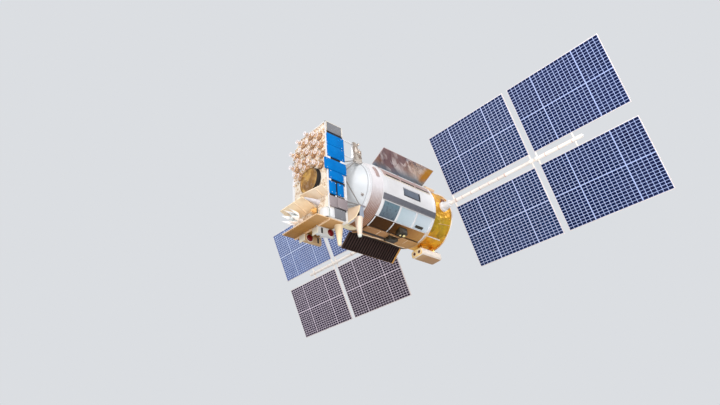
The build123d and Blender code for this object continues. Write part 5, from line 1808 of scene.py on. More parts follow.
@dataclass
class Payload:
    """Payload box, antenna face and the flat units on the near side."""

    fasteners: Fasteners
    trim: float = 0.034
    units: tuple[tuple[float, float, float, float, float], ...] = (
        (3.250, 3.654, 0.848, 1.068, 0.0285), (3.244, 3.692, 0.524, 0.790, 0.030), (3.244, 3.692, 0.240, 0.516, 0.030),
        (3.170, 3.714, -0.070, 0.177, 0.034), (3.264, 3.632, -0.270, -0.078, 0.030), (3.464, 3.616, -0.592, -0.326, 0.030),
        (3.250, 3.416, -0.604, -0.332, 0.030))
    gaps: tuple[tuple[float, float, float, float], ...] = (
        (3.225, 3.640, 0.791, 0.847), (3.330, 3.560, 0.178, 0.239), (3.225, 3.640, 0.517, 0.523),
        (3.240, 3.640, -0.326, -0.270), (3.440, 3.488, -0.600, -0.330), (3.230, 3.640, -0.645, -0.606),
        (3.240, 3.530, -0.900, -0.868), (3.533, 3.540, -1.10, -0.93), (3.245, 3.650, -0.079, -0.069))

    def build_box(self) -> None:
        """Makes the box, the antenna face with its pale edges, and the hidden sides' seams and buttons."""
        refine("payload_box", "payload_body", Blanket("payload_cloth", (0.80, 0.76, 0.72), (0.66, 0.60, 0.54), 0.55, 5.0,
                                                      0.005), "cream_paint", 0.006)
        refine("antenna_face", "antenna_plate", FACE_CREAM, "cream_paint", 0.003)
        half, top, low = AT.module_half + 0.016, AT.module_top + 0.016, AT.module_bottom
        outline = [(half, low), (half, top), (-half + 0.308, top), (-half, top - 0.288), (-half, low)]
        edge = Shape()
        for (y0, z0), (y1, z1) in zip(outline, outline[1:]):
            wide = self.trim * ((1.0 if y0 > 0 else 2.2) if y0 == y1 else 0.6)
            inset = Vector((1, 0, 0)).cross(Vector((0, y1 - y0, z1 - z0)).normalized()) * (wide / 2)
            start, end = Vector((AT.face, y0, z0)) + inset, Vector((AT.face, y1, z1)) + inset
            place = placement(start, (1, 0, 0), end - start)
            edge.box((-0.005, -wide / 2, 0.0), (0.006, wide / 2, (end - start).length), 0.002, place)
        edge.piece("antenna_edge_trim", WHITE, slot="white_paint")
        seams = Shape()
        back, side = AT.module_back, -AT.module_half
        for z in (-0.62, -0.05, 0.52):
            seams.box((back + 0.01, side - 0.003, z - 0.009), (AT.face_back - 0.01, side + 0.002, z + 0.009), 0.001)
            seams.box((back - 0.003, -0.535, z - 0.009), (back + 0.002, 0.535, z + 0.009), 0.001)
        seams.box((back - 0.003, -0.009, -1.09), (back + 0.002, 0.009, 1.05), 0.001)
        seams.piece("payload_seams", WHITE, slot="white_paint")
        spots = []
        for z in (-1.0, -0.7, -0.34, 0.22, 0.66):
            spots += row((back - 0.001, -0.49, z), (back - 0.001, 0.49, z), 8, (-1, 0, 0))
            spots += row((back + 0.06, side - 0.001, z), (AT.face_back - 0.06, side - 0.001, z), 4, (0, -1, 0))
        self.fasteners.piece("payload_buttons", spots, 0.010, 0.004, WHITE, "white_paint", 12)

    def build_units(self) -> None:
        """Makes the near side's box, radiators, cases and plates, with their edges and bits, and painted shadow in the
        gaps between them.
        """
        for node, finish, slot in (
            ("side_box_top", GREY, "grey_paint"), ("side_radiators", BLUE, "blue_radiator"),
            ("side_cases", MAUVE, "mauve_grey"), ("side_plate_white", WHITE, "white_paint"),
            ("side_plate_grey", GREY, "grey_paint"),
        ):
            refine(node, f"{node}_fine", finish, slot)
        y = AT.module_half
        rims = Shape()
        x0, x1, z0, z1, top = self.units[0]
        wide = 0.008
        for xs, zs in (((x0, x1), (z1 - wide, z1)), ((x0, x0 + wide), (z0, z1)), ((x1 - wide, x1), (z0, z1))):
            rims.box((xs[0], y + top - 0.008, zs[0]), (xs[1], y + top + 0.0015, zs[1]), 0.001)
        rims.piece("top_box_edges", PALE_CREAM, slot="cream_paint")
        # Black boxes in the gaps between the units: painted shadow.
        dark = Shape()
        for x0, x1, z0, z1 in self.gaps:
            dark.box((x0, y - 0.001, z0), (x1, y + 0.010, z1))
        dark.piece("side_gap_shadows", BLACK, slot="black")
        bits = Shape()
        for x0, x1, z0, z1 in ((3.580, 3.640, 0.186, 0.232), (3.225, 3.318, 0.184, 0.234), (3.205, 3.236, -0.60, -0.10),
                               (3.590, 3.636, -0.320, -0.276), (3.205, 3.262, -0.640, -0.612),
                               (3.470, 3.50, -0.642, -0.612)):
            bits.box((x0, y - 0.001, z0), (x1, y + 0.022, z1), 0.003)
        bits.piece("side_bits", WHITE, slot="white_paint")
        spots = [((x, y + top, z), (0, 1, 0)) for x0, x1, z0, z1, top in self.units[1:]
                 for x in (x0 + 0.03, x1 - 0.03) for z in (z0 + 0.026, z1 - 0.026)]
        self.fasteners.piece("radiator_studs", spots, 0.008, 0.004, COOL_WHITE, "white_paint", 10)
        spots = [((x, y + top, z), (0, 1, 0)) for xs, zs, top in (
            ((3.265, 3.64), (0.87, 1.045), 0.0285), ((3.495, 3.645), (-0.85, -0.675), 0.036),
            ((3.265, 3.41), (-0.86, -0.682), 0.036), ((3.265, 3.34), (-1.085, -0.945), 0.022),
            ((3.385, 3.605), (-1.085, -0.92), 0.028)) for x in xs for z in zs]
        self.fasteners.piece("unit_screws", spots, 0.0055, 0.004, SILVER)

    def build(self) -> None:
        """Builds the module."""
        self.build_box()
        self.build_units()


@dataclass
class AntennaArray:
    """Helical elements on the antenna face, with their cups, loops and fittings."""

    fasteners: Fasteners
    places: tuple[tuple[float, float], ...] = (
        (0.105, 0.945), (-0.150, 0.880), (-0.385, 0.700), (-0.400, 0.385), (-0.275, 0.150), (-0.060, 0.235),
        (0.170, 0.245), (0.370, 0.110), (0.420, 0.330), (0.400, 0.560), (0.370, 0.790), (0.160, 0.710),
        (-0.080, 0.640), (-0.165, 0.430), (0.165, 0.470))
    length: float = 0.186
    turns: float = 4.0
    coil_radii: tuple[float, float] = (0.054, 0.030)
    coil_start: float = 0.028
    wire: float = 0.0042
    loop_radius: float = 0.043
    loop_wire: float = 0.0062
    cup_radius: float = 0.072

    def build_coils(self) -> None:
        """Makes the wire coils, which narrow towards the tip, with one Geometry Nodes tree."""
        tree = Tree("element_coil", Turns="Float", Foot="Float", Tip="Float", Rise="Float", Wire="Float", Start="Float")
        given = tree.given
        line = tree.node("GeometryNodeCurveSpiral", Resolution=20, Rotations=given["Turns"], Start_Radius=given["Foot"],
                         End_Radius=given["Tip"], Height=given["Rise"])
        section = tree.node("GeometryNodeCurvePrimitiveCircle", Resolution=8, Radius=given["Wire"])
        wire = tree.node("GeometryNodeCurveToMesh", Curve=line, Profile_Curve=section, Fill_Caps=True)
        tree.on_spots(tree.raised(wire, given["Start"]))
        coils = Shape()
        coils.add(tree.mesh(COPPER, [((AT.face, y, z), (1, 0, 0)) for y, z in self.places], Turns=self.turns,
                            Foot=self.coil_radii[0], Tip=self.coil_radii[1], Rise=self.length - self.coil_start - 0.012,
                            Wire=self.wire, Start=self.coil_start))
        coils.piece("helix_coils", COPPER, slot="copper_gold", replaces=["antenna_elements"], smooth=60.0)

    def build_loops(self) -> None:
        """Makes the two wire loops of each element with a second tree, and their spokes."""
        tree = Tree("element_loops", Tip="Float", Middle="Float", Loop="Float", Wide="Float", Wire="Float")
        given = tree.given
        tree.on_spots(tree.join([tree.raised(tree.ring(given["Loop"], given["Wire"]), given["Tip"]),
                                 tree.raised(tree.ring(given["Wide"], given["Wire"]), given["Middle"])]))
        loops = Shape()
        tip, middle, wide = self.length - 0.005, self.length * 0.50, self.loop_radius * 1.14
        loops.add(tree.mesh(PINK_WHITE, [((AT.face, y, z), (1, 0, 0)) for y, z in self.places], Tip=tip, Middle=middle,
                            Loop=self.loop_radius, Wide=wide, Wire=self.loop_wire))
        for y, z in self.places:
            for height, radius in ((tip, self.loop_radius), (middle, wide)):
                for turn in (0.0, 60.0, 120.0):
                    spin = facing_front(AT.face, y, z) @ Matrix.Rotation(math.radians(turn), 4, "Z")
                    loops.bar(spin @ Vector((-radius, 0, height)), spin @ Vector((radius, 0, height)), 0.0036, sides=8)
        loops.piece("helix_loops", PINK_WHITE, slot="white_paint", smooth=60.0)

    def build(self) -> None:
        """Makes coils, loops, cups, masts, bases and the face's small fittings."""
        self.build_coils()
        self.build_loops()
        cups, masts, bases = Shape(), Shape(), Shape()
        for y, z in self.places:
            place = facing_front(AT.face, y, z)
            r, tip = self.cup_radius, self.length
            cups.turned([(0.0005, 0.052), (0.001, 0.060), (0.012, 0.066), (0.022, r), (0.025, r), (0.024, r - 0.004),
                         (0.014, 0.061), (0.006, 0.054), (0.005, 0.0)], place, 36)
            masts.turned([(0.004, 0.022), (0.010, 0.022), (0.014, 0.013), (0.060, 0.010), (0.120, 0.009),
                          (tip - 0.010, 0.008), (tip - 0.002, 0.010), (tip, 0.008), (tip, 0.0)], place, 20)
            bases.turned([(0.0, 0.088), (0.0035, 0.088), (0.0045, 0.086), (0.0045, 0.050)], place, 32)
        cups.piece("helix_cups", Coating("cup_tan", (0.72, 0.52, 0.34), (0.46, 0.24, 0.11), 0.45, blotch=16.0), slot="copper_gold")
        masts.piece("helix_masts", Coating("mast_tan", (0.72, 0.52, 0.34), (0.50, 0.30, 0.16), 0.4), slot="copper_gold")
        bases.piece("helix_bases", Coating("base_tan", (0.46, 0.24, 0.11), (0.26, 0.11, 0.04)), slot="copper_gold")
        spots = []
        for y, z in self.places:
            for turn in range(6):
                angle = math.radians(60 * turn + 20)
                spots.append(((AT.face + 0.0045, y + 0.080 * math.cos(angle), z + 0.080 * math.sin(angle)), (1, 0, 0)))
        self.fasteners.piece("helix_screws", spots, 0.0048, 0.004, SILVER)
        self.build_fittings()

    def build_fittings(self) -> None:
        """Makes the feed lines, and the studs, tabs and ports between the elements."""
        lines = Shape()
        pairs = ((0, 1), (1, 2), (2, 3), (3, 4), (4, 5), (5, 6), (6, 7), (7, 8), (8, 9), (9, 10), (10, 0), (11, 12),
                 (12, 13), (13, 5), (14, 11), (14, 6))
        for a, b in pairs:
            first, last = Vector(self.places[a]), Vector(self.places[b])
            run = (last - first).normalized()
            bend = Vector((-run.y, run.x)) * 0.018
            points = [first + run * 0.07, first.lerp(last, 0.35) + bend, first.lerp(last, 0.65) + bend, last - run * 0.07]
            lines.tube([(AT.face + 0.008, p.x, p.y) for p in points], 0.0052)
        lines.piece("feed_lines", Coating("feed_sleeve", (0.66, 0.44, 0.28), (0.46, 0.24, 0.11), 0.42),
                    slot="copper_gold")
        kinds: tuple[list[Spot], ...] = ([], [], [])
        pitch = 0.072
        for k, (a, b) in enumerate((a, b) for a in range(15) for b in range(15)):
            y, z = a * pitch - 0.505 + 0.012 * math.sin(7.0 * k), b * pitch + 0.03 + 0.012 * math.cos(5.0 * k)
            here = Vector((y, z))
            near = min((here - Vector(place)).length for place in self.places)
            cut = z - 0.78 > (y + 0.566) * 0.90
            if near > 0.094 and not cut and (here - Vector((0.07, -0.13))).length > 0.30 and z < 1.05:
                kinds[k % 3].append(((AT.face + 0.0005, y, z), (1, 0, 0)))
        self.fasteners.piece("face_studs", kinds[0], 0.014, 0.022, Coating("stud_tan", (0.74, 0.50, 0.26),
                                                                           (0.56, 0.32, 0.14)), "copper_gold", 10)
        self.fasteners.piece("face_tabs", kinds[1], 0.018, 0.012, PINK_WHITE, "white_paint", 6)
        self.fasteners.piece("face_ports", kinds[2], 0.014, 0.010, Coating("port_tan", (0.40, 0.18, 0.08),
                                                                           (0.26, 0.10, 0.04)), "black", 12)


@dataclass
class FrontBay:
    """Round instrument, hood, visor plate, roll, crown antenna, white dome and gold fitting."""

    fasteners: Fasteners
    centre: tuple[float, float] = (0.070, -0.130)
    case_radius: float = 0.272
    proud: float = 0.090
    slope: float = 27.3
    roll_centre: tuple[float, float] = (0.240, -0.672)
    roll_length: float = 0.330
    crown_centre: tuple[float, float] = (-0.290, -0.838)
    crown_radius: float = 0.160
    crown_depth: float = 0.230
    spike_count: int = 8
    dome_y: float = 0.445
    dome_radius: float = 0.118
    dome_rise: float = 0.120

    def build_instrument(self) -> None:
        """Makes the black case wall and the crumpled gold foil that fills it and laps over its rim."""
        place = facing_front(AT.face, *self.centre)
        r, p = self.case_radius, self.proud
        wall = Shape()
        wall.turned([(0.0, r), (p - 0.003, r), (p - 0.001, r - 0.002), (p - 0.001, r - 0.017), (p - 0.003, r - 0.020),
                     (0.018, r - 0.020)], place, 96)
        wall.turned([(0.0, r + 0.016), (0.006, r + 0.016), (0.008, r + 0.013), (0.008, r - 0.002)], place, 96)
        wall.piece("instrument_wall", BLACK, slot="black", replaces=["instrument_case"])
        edge = r - 0.003

        def foil(share: float, turn: float) -> Vector:
            """Gives a point of the foil."""
            angle = 2 * math.pi * turn
            flat = Vector((edge * share * math.cos(angle), edge * share * math.sin(angle), 0.0))
            lap = max(0.0, min(1.0, (share - 0.90) / 0.05))
            rough = 0.024 * (crumple(flat, 0.15) - 0.4)
            inner = p - 0.024 + 0.012 * (1 - share ** 2) + rough
            return place @ (flat + Vector((0, 0, inner + (p + 0.001 - inner) * lap)))

        dish = Shape()
        dish.surface(foil, (34, 110))
        dish.piece("instrument_foil", DISH_GOLD, slot="dark_gold", replaces=["instrument_dish"], smooth=40.0, merge=True)

    def build_hoods(self) -> None:
        """Makes the hood and the visor plate with ribs and rivets below them."""
        refine("instrument_hood", "hood_plate", Coating("hood_cream", (0.86, 0.72, 0.56), (0.78, 0.61, 0.43)),
               "cream_paint", 0.003)
        refine("visor_plate", "visor_body", Coating("visor_cream", (0.93, 0.77, 0.55), (0.87, 0.66, 0.41)),
               "cream_paint", 0.003)
        tilt = math.tan(math.radians(self.slope))
        ribs = Shape()
        for y, z, reach in ((-0.46, -0.7715, 0.290), (-0.10, -0.7715, 0.290), (-0.02, -0.5995, 0.17), (0.40, -0.5995, 0.17)):
            start = Vector((AT.face, y, z))
            run = Vector((reach, 0, reach * tilt))
            ribs.box((0.0, -0.006, -0.012), (run.length, 0.006, 0.001), 0.002, placement(start, run, (0, 0, 1)))
        ribs.piece("hood_ribs", Coating("rib_cream", (0.88, 0.73, 0.54), (0.80, 0.62, 0.42)), slot="cream_paint")
        down = Vector((tilt, 0, -1)).normalized()
        spots = []
        for out, z, ys, count in ((0.020, -0.7715, (-0.54, 0.16), 12), (0.020, -0.5995, (-0.16, 0.54), 11)):
            height = z + out * tilt
            spots += row((AT.face + out, ys[0], height), (AT.face + out, ys[1], height), count, down)
        self.fasteners.piece("hood_rivets", spots, 0.0055, 0.004, SILVER)

    def build_roll(self) -> None:
        """Makes the cloth cone under the hood, with straps."""
        place = facing_front(AT.face, *self.roll_centre)

        def radius_at(height: float) -> float:
            """Gives the cone's radius at a height."""
            return 0.062 - 0.046 * height / self.roll_length

        def cloth(share: float, turn: float) -> Vector:
            """Gives a point of the cloth, closed at its tip."""
            height = self.roll_length * min(share / 0.95, 1.0)
            way = Vector((math.cos(2 * math.pi * turn), math.sin(2 * math.pi * turn), 0))
            if share > 0.97:
                return place @ Vector((0, 0, height))
            pinch = 0.004 if any(abs(height - strap) < 0.012 for strap in (0.08, 0.22)) else 0.0
            rough = 0.003 * crumple(way * 0.12 + Vector((0, 0, height)), 0.07, 2)
            return place @ (way * (radius_at(height) - rough - pinch) + Vector((0, 0, height)))

        roll = Shape()
        roll.surface(cloth, (42, 48))
        roll.piece("roll_cloth", Blanket("roll_grey", (0.60, 0.58, 0.61), (0.46, 0.43, 0.46), 0.55, 14.0, 0.008),
                   slot="white_paint", replaces=["roll_unit"], smooth=50.0, merge=True)
        straps = Shape()
        for strap in (0.08, 0.22):
            r = radius_at(strap)
            straps.turned([(strap - 0.008, r - 0.006), (strap - 0.008, r), (strap + 0.008, r - 0.001),
                           (strap + 0.008, r - 0.007)], place, 40)
        straps.piece("roll_straps", Coating("strap_grey", (0.60, 0.58, 0.62), (0.50, 0.47, 0.50)), slot="grey_paint")

    def build_crown(self) -> None:
        """Makes the crown antenna: stem, wide rim, ring of leaning spikes and inner coil."""
        place = facing_front(AT.face + 0.140, *self.crown_centre)
        crown = Shape()
        crown.turned([(-0.140, 0.034), (-0.020, 0.034), (-0.006, 0.060), (0.0, 0.118), (0.004, 0.125), (0.018, 0.134),
                      (0.026, 0.134), (0.030, 0.130), (0.030, 0.122), (0.014, 0.112), (0.010, 0.050), (0.055, 0.044),
                      (0.086, 0.034), (0.092, 0.0)], place, 56)
        for i in range(self.spike_count):
            spin = place @ Matrix.Rotation(math.radians(360 * (i + 0.5) / self.spike_count), 4, "Z")
            root, tip = spin @ Vector((0.124, 0, 0.020)), spin @ Vector((self.crown_radius - 0.004, 0, self.crown_depth))
            blade = placement(root, spin.to_3x3() @ Vector((0, 1, 0)), tip - root) @ Matrix.Diagonal((1, 0.28, 1, 1))
            crown.turned([(0.0, 0.0), (0.0, 0.046), (0.05, 0.041), (0.12, 0.022), (0.18, 0.008),
                          ((tip - root).length, 0.0)], blade, 16)
        crown.piece("crown_body", Coating("crown_white", (0.95, 0.94, 0.94), (0.90, 0.87, 0.87), 0.4),
                    slot="white_paint", replaces=["crown_antenna"], smooth=45.0, merge=True)
        inner = Shape()
        turns = [0.35 * k for k in range(60)]
        inner.tube([place @ Vector((0.056 * math.cos(t), 0.056 * math.sin(t), 0.030 + 0.0045 * t)) for t in turns], 0.0045)
        inner.turned([(0.0125, 0.048), (0.0165, 0.052), (0.0165, 0.108), (0.0145, 0.111)], place, 48)
        # The inner coil and band are green-grey as painted shade inside the crown's ring.
        inner.piece("crown_coil", Coating("coil_green_painted_shade", (0.58, 0.64, 0.61), (0.42, 0.48, 0.46), 0.35), slot="grey_paint")

    def build_small(self) -> None:
        """Makes the white dome, the gold fitting and small boxes on the face."""
        r = self.dome_radius
        place = placement((AT.face, self.dome_y, AT.module_bottom), (1, 0, 0), (0, 0, 1))
        dome = Shape()
        rise = self.dome_rise
        arc = [(rise + r * math.sin(math.radians(t)), r * math.cos(math.radians(t))) for t in range(0, 90, 6)]
        dome.turned([(0.0, r), (0.010, r), (0.014, r - 0.003), (rise - 0.012, r - 0.003), *arc, (rise + r, 0.0)], place, 36,
                    span=(-90.0, 90.0))
        dome.piece("dome_case", Coating("dome_case_white", (0.66, 0.655, 0.65), (0.58, 0.55, 0.53), 0.42),
                   slot="white_paint", replaces=["dome_unit"], merge=True)
        rim = Shape()
        turns = [math.radians(t) for t in range(0, 181, 6)]
        arch = [place @ Vector((0.004, (r + 0.001) * math.cos(t), rise + (r + 0.001) * math.sin(t))) for t in turns]
        rim.tube([place @ Vector((0.004, r + 0.001, 0.0)), *arch, place @ Vector((0.004, -r - 0.001, 0.0))], 0.008)
        rim.piece("dome_case_rim", Coating("rim_green", (0.34, 0.40, 0.36), (0.24, 0.28, 0.26)), slot="grey_paint")
        low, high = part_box("gold_fitting")
        fitting = Shape()
        fitting.cad("gold_fitting", 0.004)
        y, z = (low.y + high.y) / 2, (low.z + high.z) / 2
        out = AT.face
        fitting.bar((out, low.y - 0.03, z), (out + 0.040, low.y - 0.03, z), 0.020, sides=20, round_off=0.003)
        fitting.bar((out + 0.03, high.y + 0.02, z + 0.02), (out + 0.03, high.y - 0.01, z + 0.02), 0.014, round_off=0.002)
        fitting.tube([(out + 0.05, y, high.z - 0.005), (out + 0.055, y, high.z + 0.03), (out + 0.03, y - 0.03, high.z + 0.055),
                      (out, y - 0.04, high.z + 0.06)], 0.006)
        fitting.piece("gold_fitting_fine", Coating("fitting_gold", (0.86, 0.55, 0.22), (0.74, 0.40, 0.12), 0.3),
                      slot="gold_foil", replaces=["gold_fitting"])
        boxes = Shape()
        boxes.boxes((((out, -0.10, -1.07), (out + 0.045, 0.02, -0.97)),
                     ((out, -0.50, -0.45), (out + 0.030, -0.38, -0.33))), 0.005)
        boxes.piece("bay_boxes", PALE_CREAM, slot="cream_paint")
        base = Shape()
        base.box((out, low.y - 0.012, low.z - 0.012), (out + 0.012, high.y + 0.012, high.z + 0.012), 0.003)
        base.piece("fitting_base", Coating("base_green", (0.10, 0.085, 0.045), (0.06, 0.05, 0.03)), slot="black")
        caps = Shape()
        caps.bar((out + 0.045, -0.04, -1.02), (out + 0.062, -0.04, -1.02), 0.022, sides=24, round_off=0.003)
        caps.bar((out + 0.030, -0.44, -0.39), (out + 0.044, -0.44, -0.39), 0.024, sides=24, round_off=0.003)
        caps.piece("bay_caps", COPPER, slot="copper_gold")

    def build(self) -> None:
        """Builds the bay."""
        self.build_instrument()
        self.build_hoods()
        self.build_roll()
        self.build_crown()
        self.build_small()


@dataclass
class Deck:
    """Lower deck, its sensors and post."""

    fasteners: Fasteners
    sensors: tuple[tuple[float, float, float, float], ...] = (
        (3.250, -0.200, 3.545, 3.335), (3.258, 0.200, 3.355, 3.560))
    sensor_end: float = 3.672
    sensor_middle: float = -1.218
    cap_radius: float = 0.073

    def build(self) -> None:
        """Builds the deck."""
        refine("lower_deck", "deck_body", Coating("deck_cream", (0.84, 0.62, 0.40), (0.74, 0.46, 0.24)), "cream_paint", 0.003)
        low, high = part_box("lower_deck")
        under, seams = Shape(), Shape()
        bottom = AT.deck_bottom
        for x0, x1 in ((3.646, high.x - 0.006), (low.x + 0.006, 3.634)):
            under.box((x0, low.y + 0.006, bottom - 0.0025), (x1, high.y - 0.006, bottom + 0.002), 0.001)
        under.piece("deck_underside", Gradient("deck_tan", "Y", ((-0.55, (0.32, 0.15, 0.035)), (0.0, (0.38, 0.18, 0.04)),
                                                                 (0.45, (0.48, 0.27, 0.11))), 0.5, specular=0.15),
                    slot="tan_panel")
        for y in (-0.30, 0.0, 0.26):
            seams.box((3.650, y - 0.003, bottom - 0.0035), (high.x - 0.014, y + 0.003, bottom))
        seams.piece("deck_seams", Coating("seam_tan", (0.30, 0.16, 0.05), (0.22, 0.11, 0.03)), slot="tan_panel")
        spots = []
        for x in (3.665, high.x - 0.02, low.x + 0.03):
            spots += row((x, low.y + 0.04, bottom - 0.0025), (x, high.y - 0.04, bottom - 0.0025), 14, (0, 0, -1))
        self.fasteners.piece("deck_screws", spots, 0.0055, 0.004, CREAM, "cream_paint")
        self.build_sensors()
        post = Shape()
        place = placement((3.298, 0.380, bottom), (1, 0, 0), (0, 0, -1))
        post.turned([(0.0, 0.0), (0.0, 0.086), (0.008, 0.088), (0.014, 0.085), (0.20, 0.060), (0.374, 0.036),
                     (0.378, 0.039), (0.390, 0.039), (0.394, 0.035), (0.408, 0.032), (0.410, 0.0)], place, 56)
        post.piece("post_body", Coating("post_yellow", (0.86, 0.72, 0.50), (0.76, 0.58, 0.36), 0.46),
                   slot="cream_paint", replaces=["deck_post"], merge=True)

    def build_sensors(self) -> None:
        """Makes the two sensor boxes, with red caps, collars, black slots and connectors."""
        # Grey-white on the near box and brown on the far box, along -Y: painted shade on the far box.
        body = Gradient("sensor_paint_and_shade", "Y", ((-0.36, (0.44, 0.27, 0.13)), (-0.12, (0.46, 0.32, 0.18)), (0.02, (0.56, 0.56, 0.55)),
                                              (0.3, (0.58, 0.60, 0.60))), specular=0.25)
        boxes, collars, caps, slots, plugs = Shape(), Shape(), Shape(), Shape(), Shape()
        boxes.cad("sensor_boxes", 0.006)
        boxes.piece("sensor_cases", body, slot="white_paint", replaces=["sensor_boxes"], smooth=40.0)
        mid, r = self.sensor_middle, self.cap_radius
        spots = []
        for start, face, cap_x, slot_x in self.sensors:
            place = placement((cap_x, face, mid), (1, 0, 0), (0, 1, 0))
            collars.turned([(-0.002, 0.080), (0.004, 0.080), (0.006, 0.078), (0.006, 0.068)], place, 56)
            collars.box((self.sensor_end - 0.012, face - 0.160, mid - 0.080), (self.sensor_end + 0.0015, face + 0.0015,
                                                                             mid + 0.060), 0.002)
            caps.turned([(0.0, r)] + [(0.004 + 0.034 * math.sin(math.radians(t)), r * math.cos(math.radians(t)))
                                      for t in range(0, 90, 10)] + [(0.038, 0.0)], place, 56)
            slots.box((slot_x - 0.0195, face - 0.0125, mid - 0.0545), (slot_x + 0.0195, face + 0.0005, mid + 0.0545))
            spots += [((x, face, z), (0, 1, 0)) for x in (start + 0.014, self.sensor_end - 0.022)
                      for z in (mid - 0.074, mid + 0.054)]
            for k in range(3):
                x = start + 0.10 + 0.09 * k
                plugs.bar((x, face - 0.150, mid - 0.02), (x, face - 0.182, mid - 0.02), 0.016, sides=20, round_off=0.003)
        collars.piece("sensor_collars", Coating("collar_cream", (0.82, 0.78, 0.66), (0.72, 0.66, 0.52)),
                      slot="white_paint")
        caps.piece("sensor_lenses", Coating("red_glass", (0.16, 0.002, 0.003), (0.10, 0.001, 0.002), 0.3, 0.25),
                   slot="red_cap", replaces=["sensor_caps"])
        slots.piece("sensor_slots", BLACK, slot="black")
        self.fasteners.piece("sensor_screws", spots, 0.0055, 0.004, SILVER)
        plugs.piece("sensor_plugs", SILVER, slot="aluminium")


@dataclass
class WingSide:
    """Name, direction, bodies and looks of one wing."""

    name: str
    side: float
    bodies: tuple[Body, Body]
    cells: tuple[CellGlass, CellGlass]
    grid: Gradient


class CellField:
    """Solar cells on a panel, set on points by a Geometry Nodes tree."""

    def __init__(self) -> None:
        """Builds the tree once: a thin plate with cut corners on each point."""
        tree = Tree("cell_field", Cell_length="Float", Cell_width="Float", Corner="Float", Thickness="Float")
        given = tree.given
        outline = tree.node("GeometryNodeCurvePrimitiveQuadrilateral", {"mode": "RECTANGLE"},
                            Width=given["Cell_length"], Height=given["Cell_width"])
        cut = tree.node("GeometryNodeFilletCurve", {"mode": "POLY"}, Curve=outline, Radius=given["Corner"], Count=1)
        solid = tree.node("GeometryNodeExtrudeMesh", Mesh=tree.node("GeometryNodeFillCurve", Curve=cut),
                          Offset_Scale=given["Thickness"])
        tree.close(tree.node("GeometryNodeInstanceOnPoints", Points=tree.carrier, Instance=solid))
        self.tree = tree


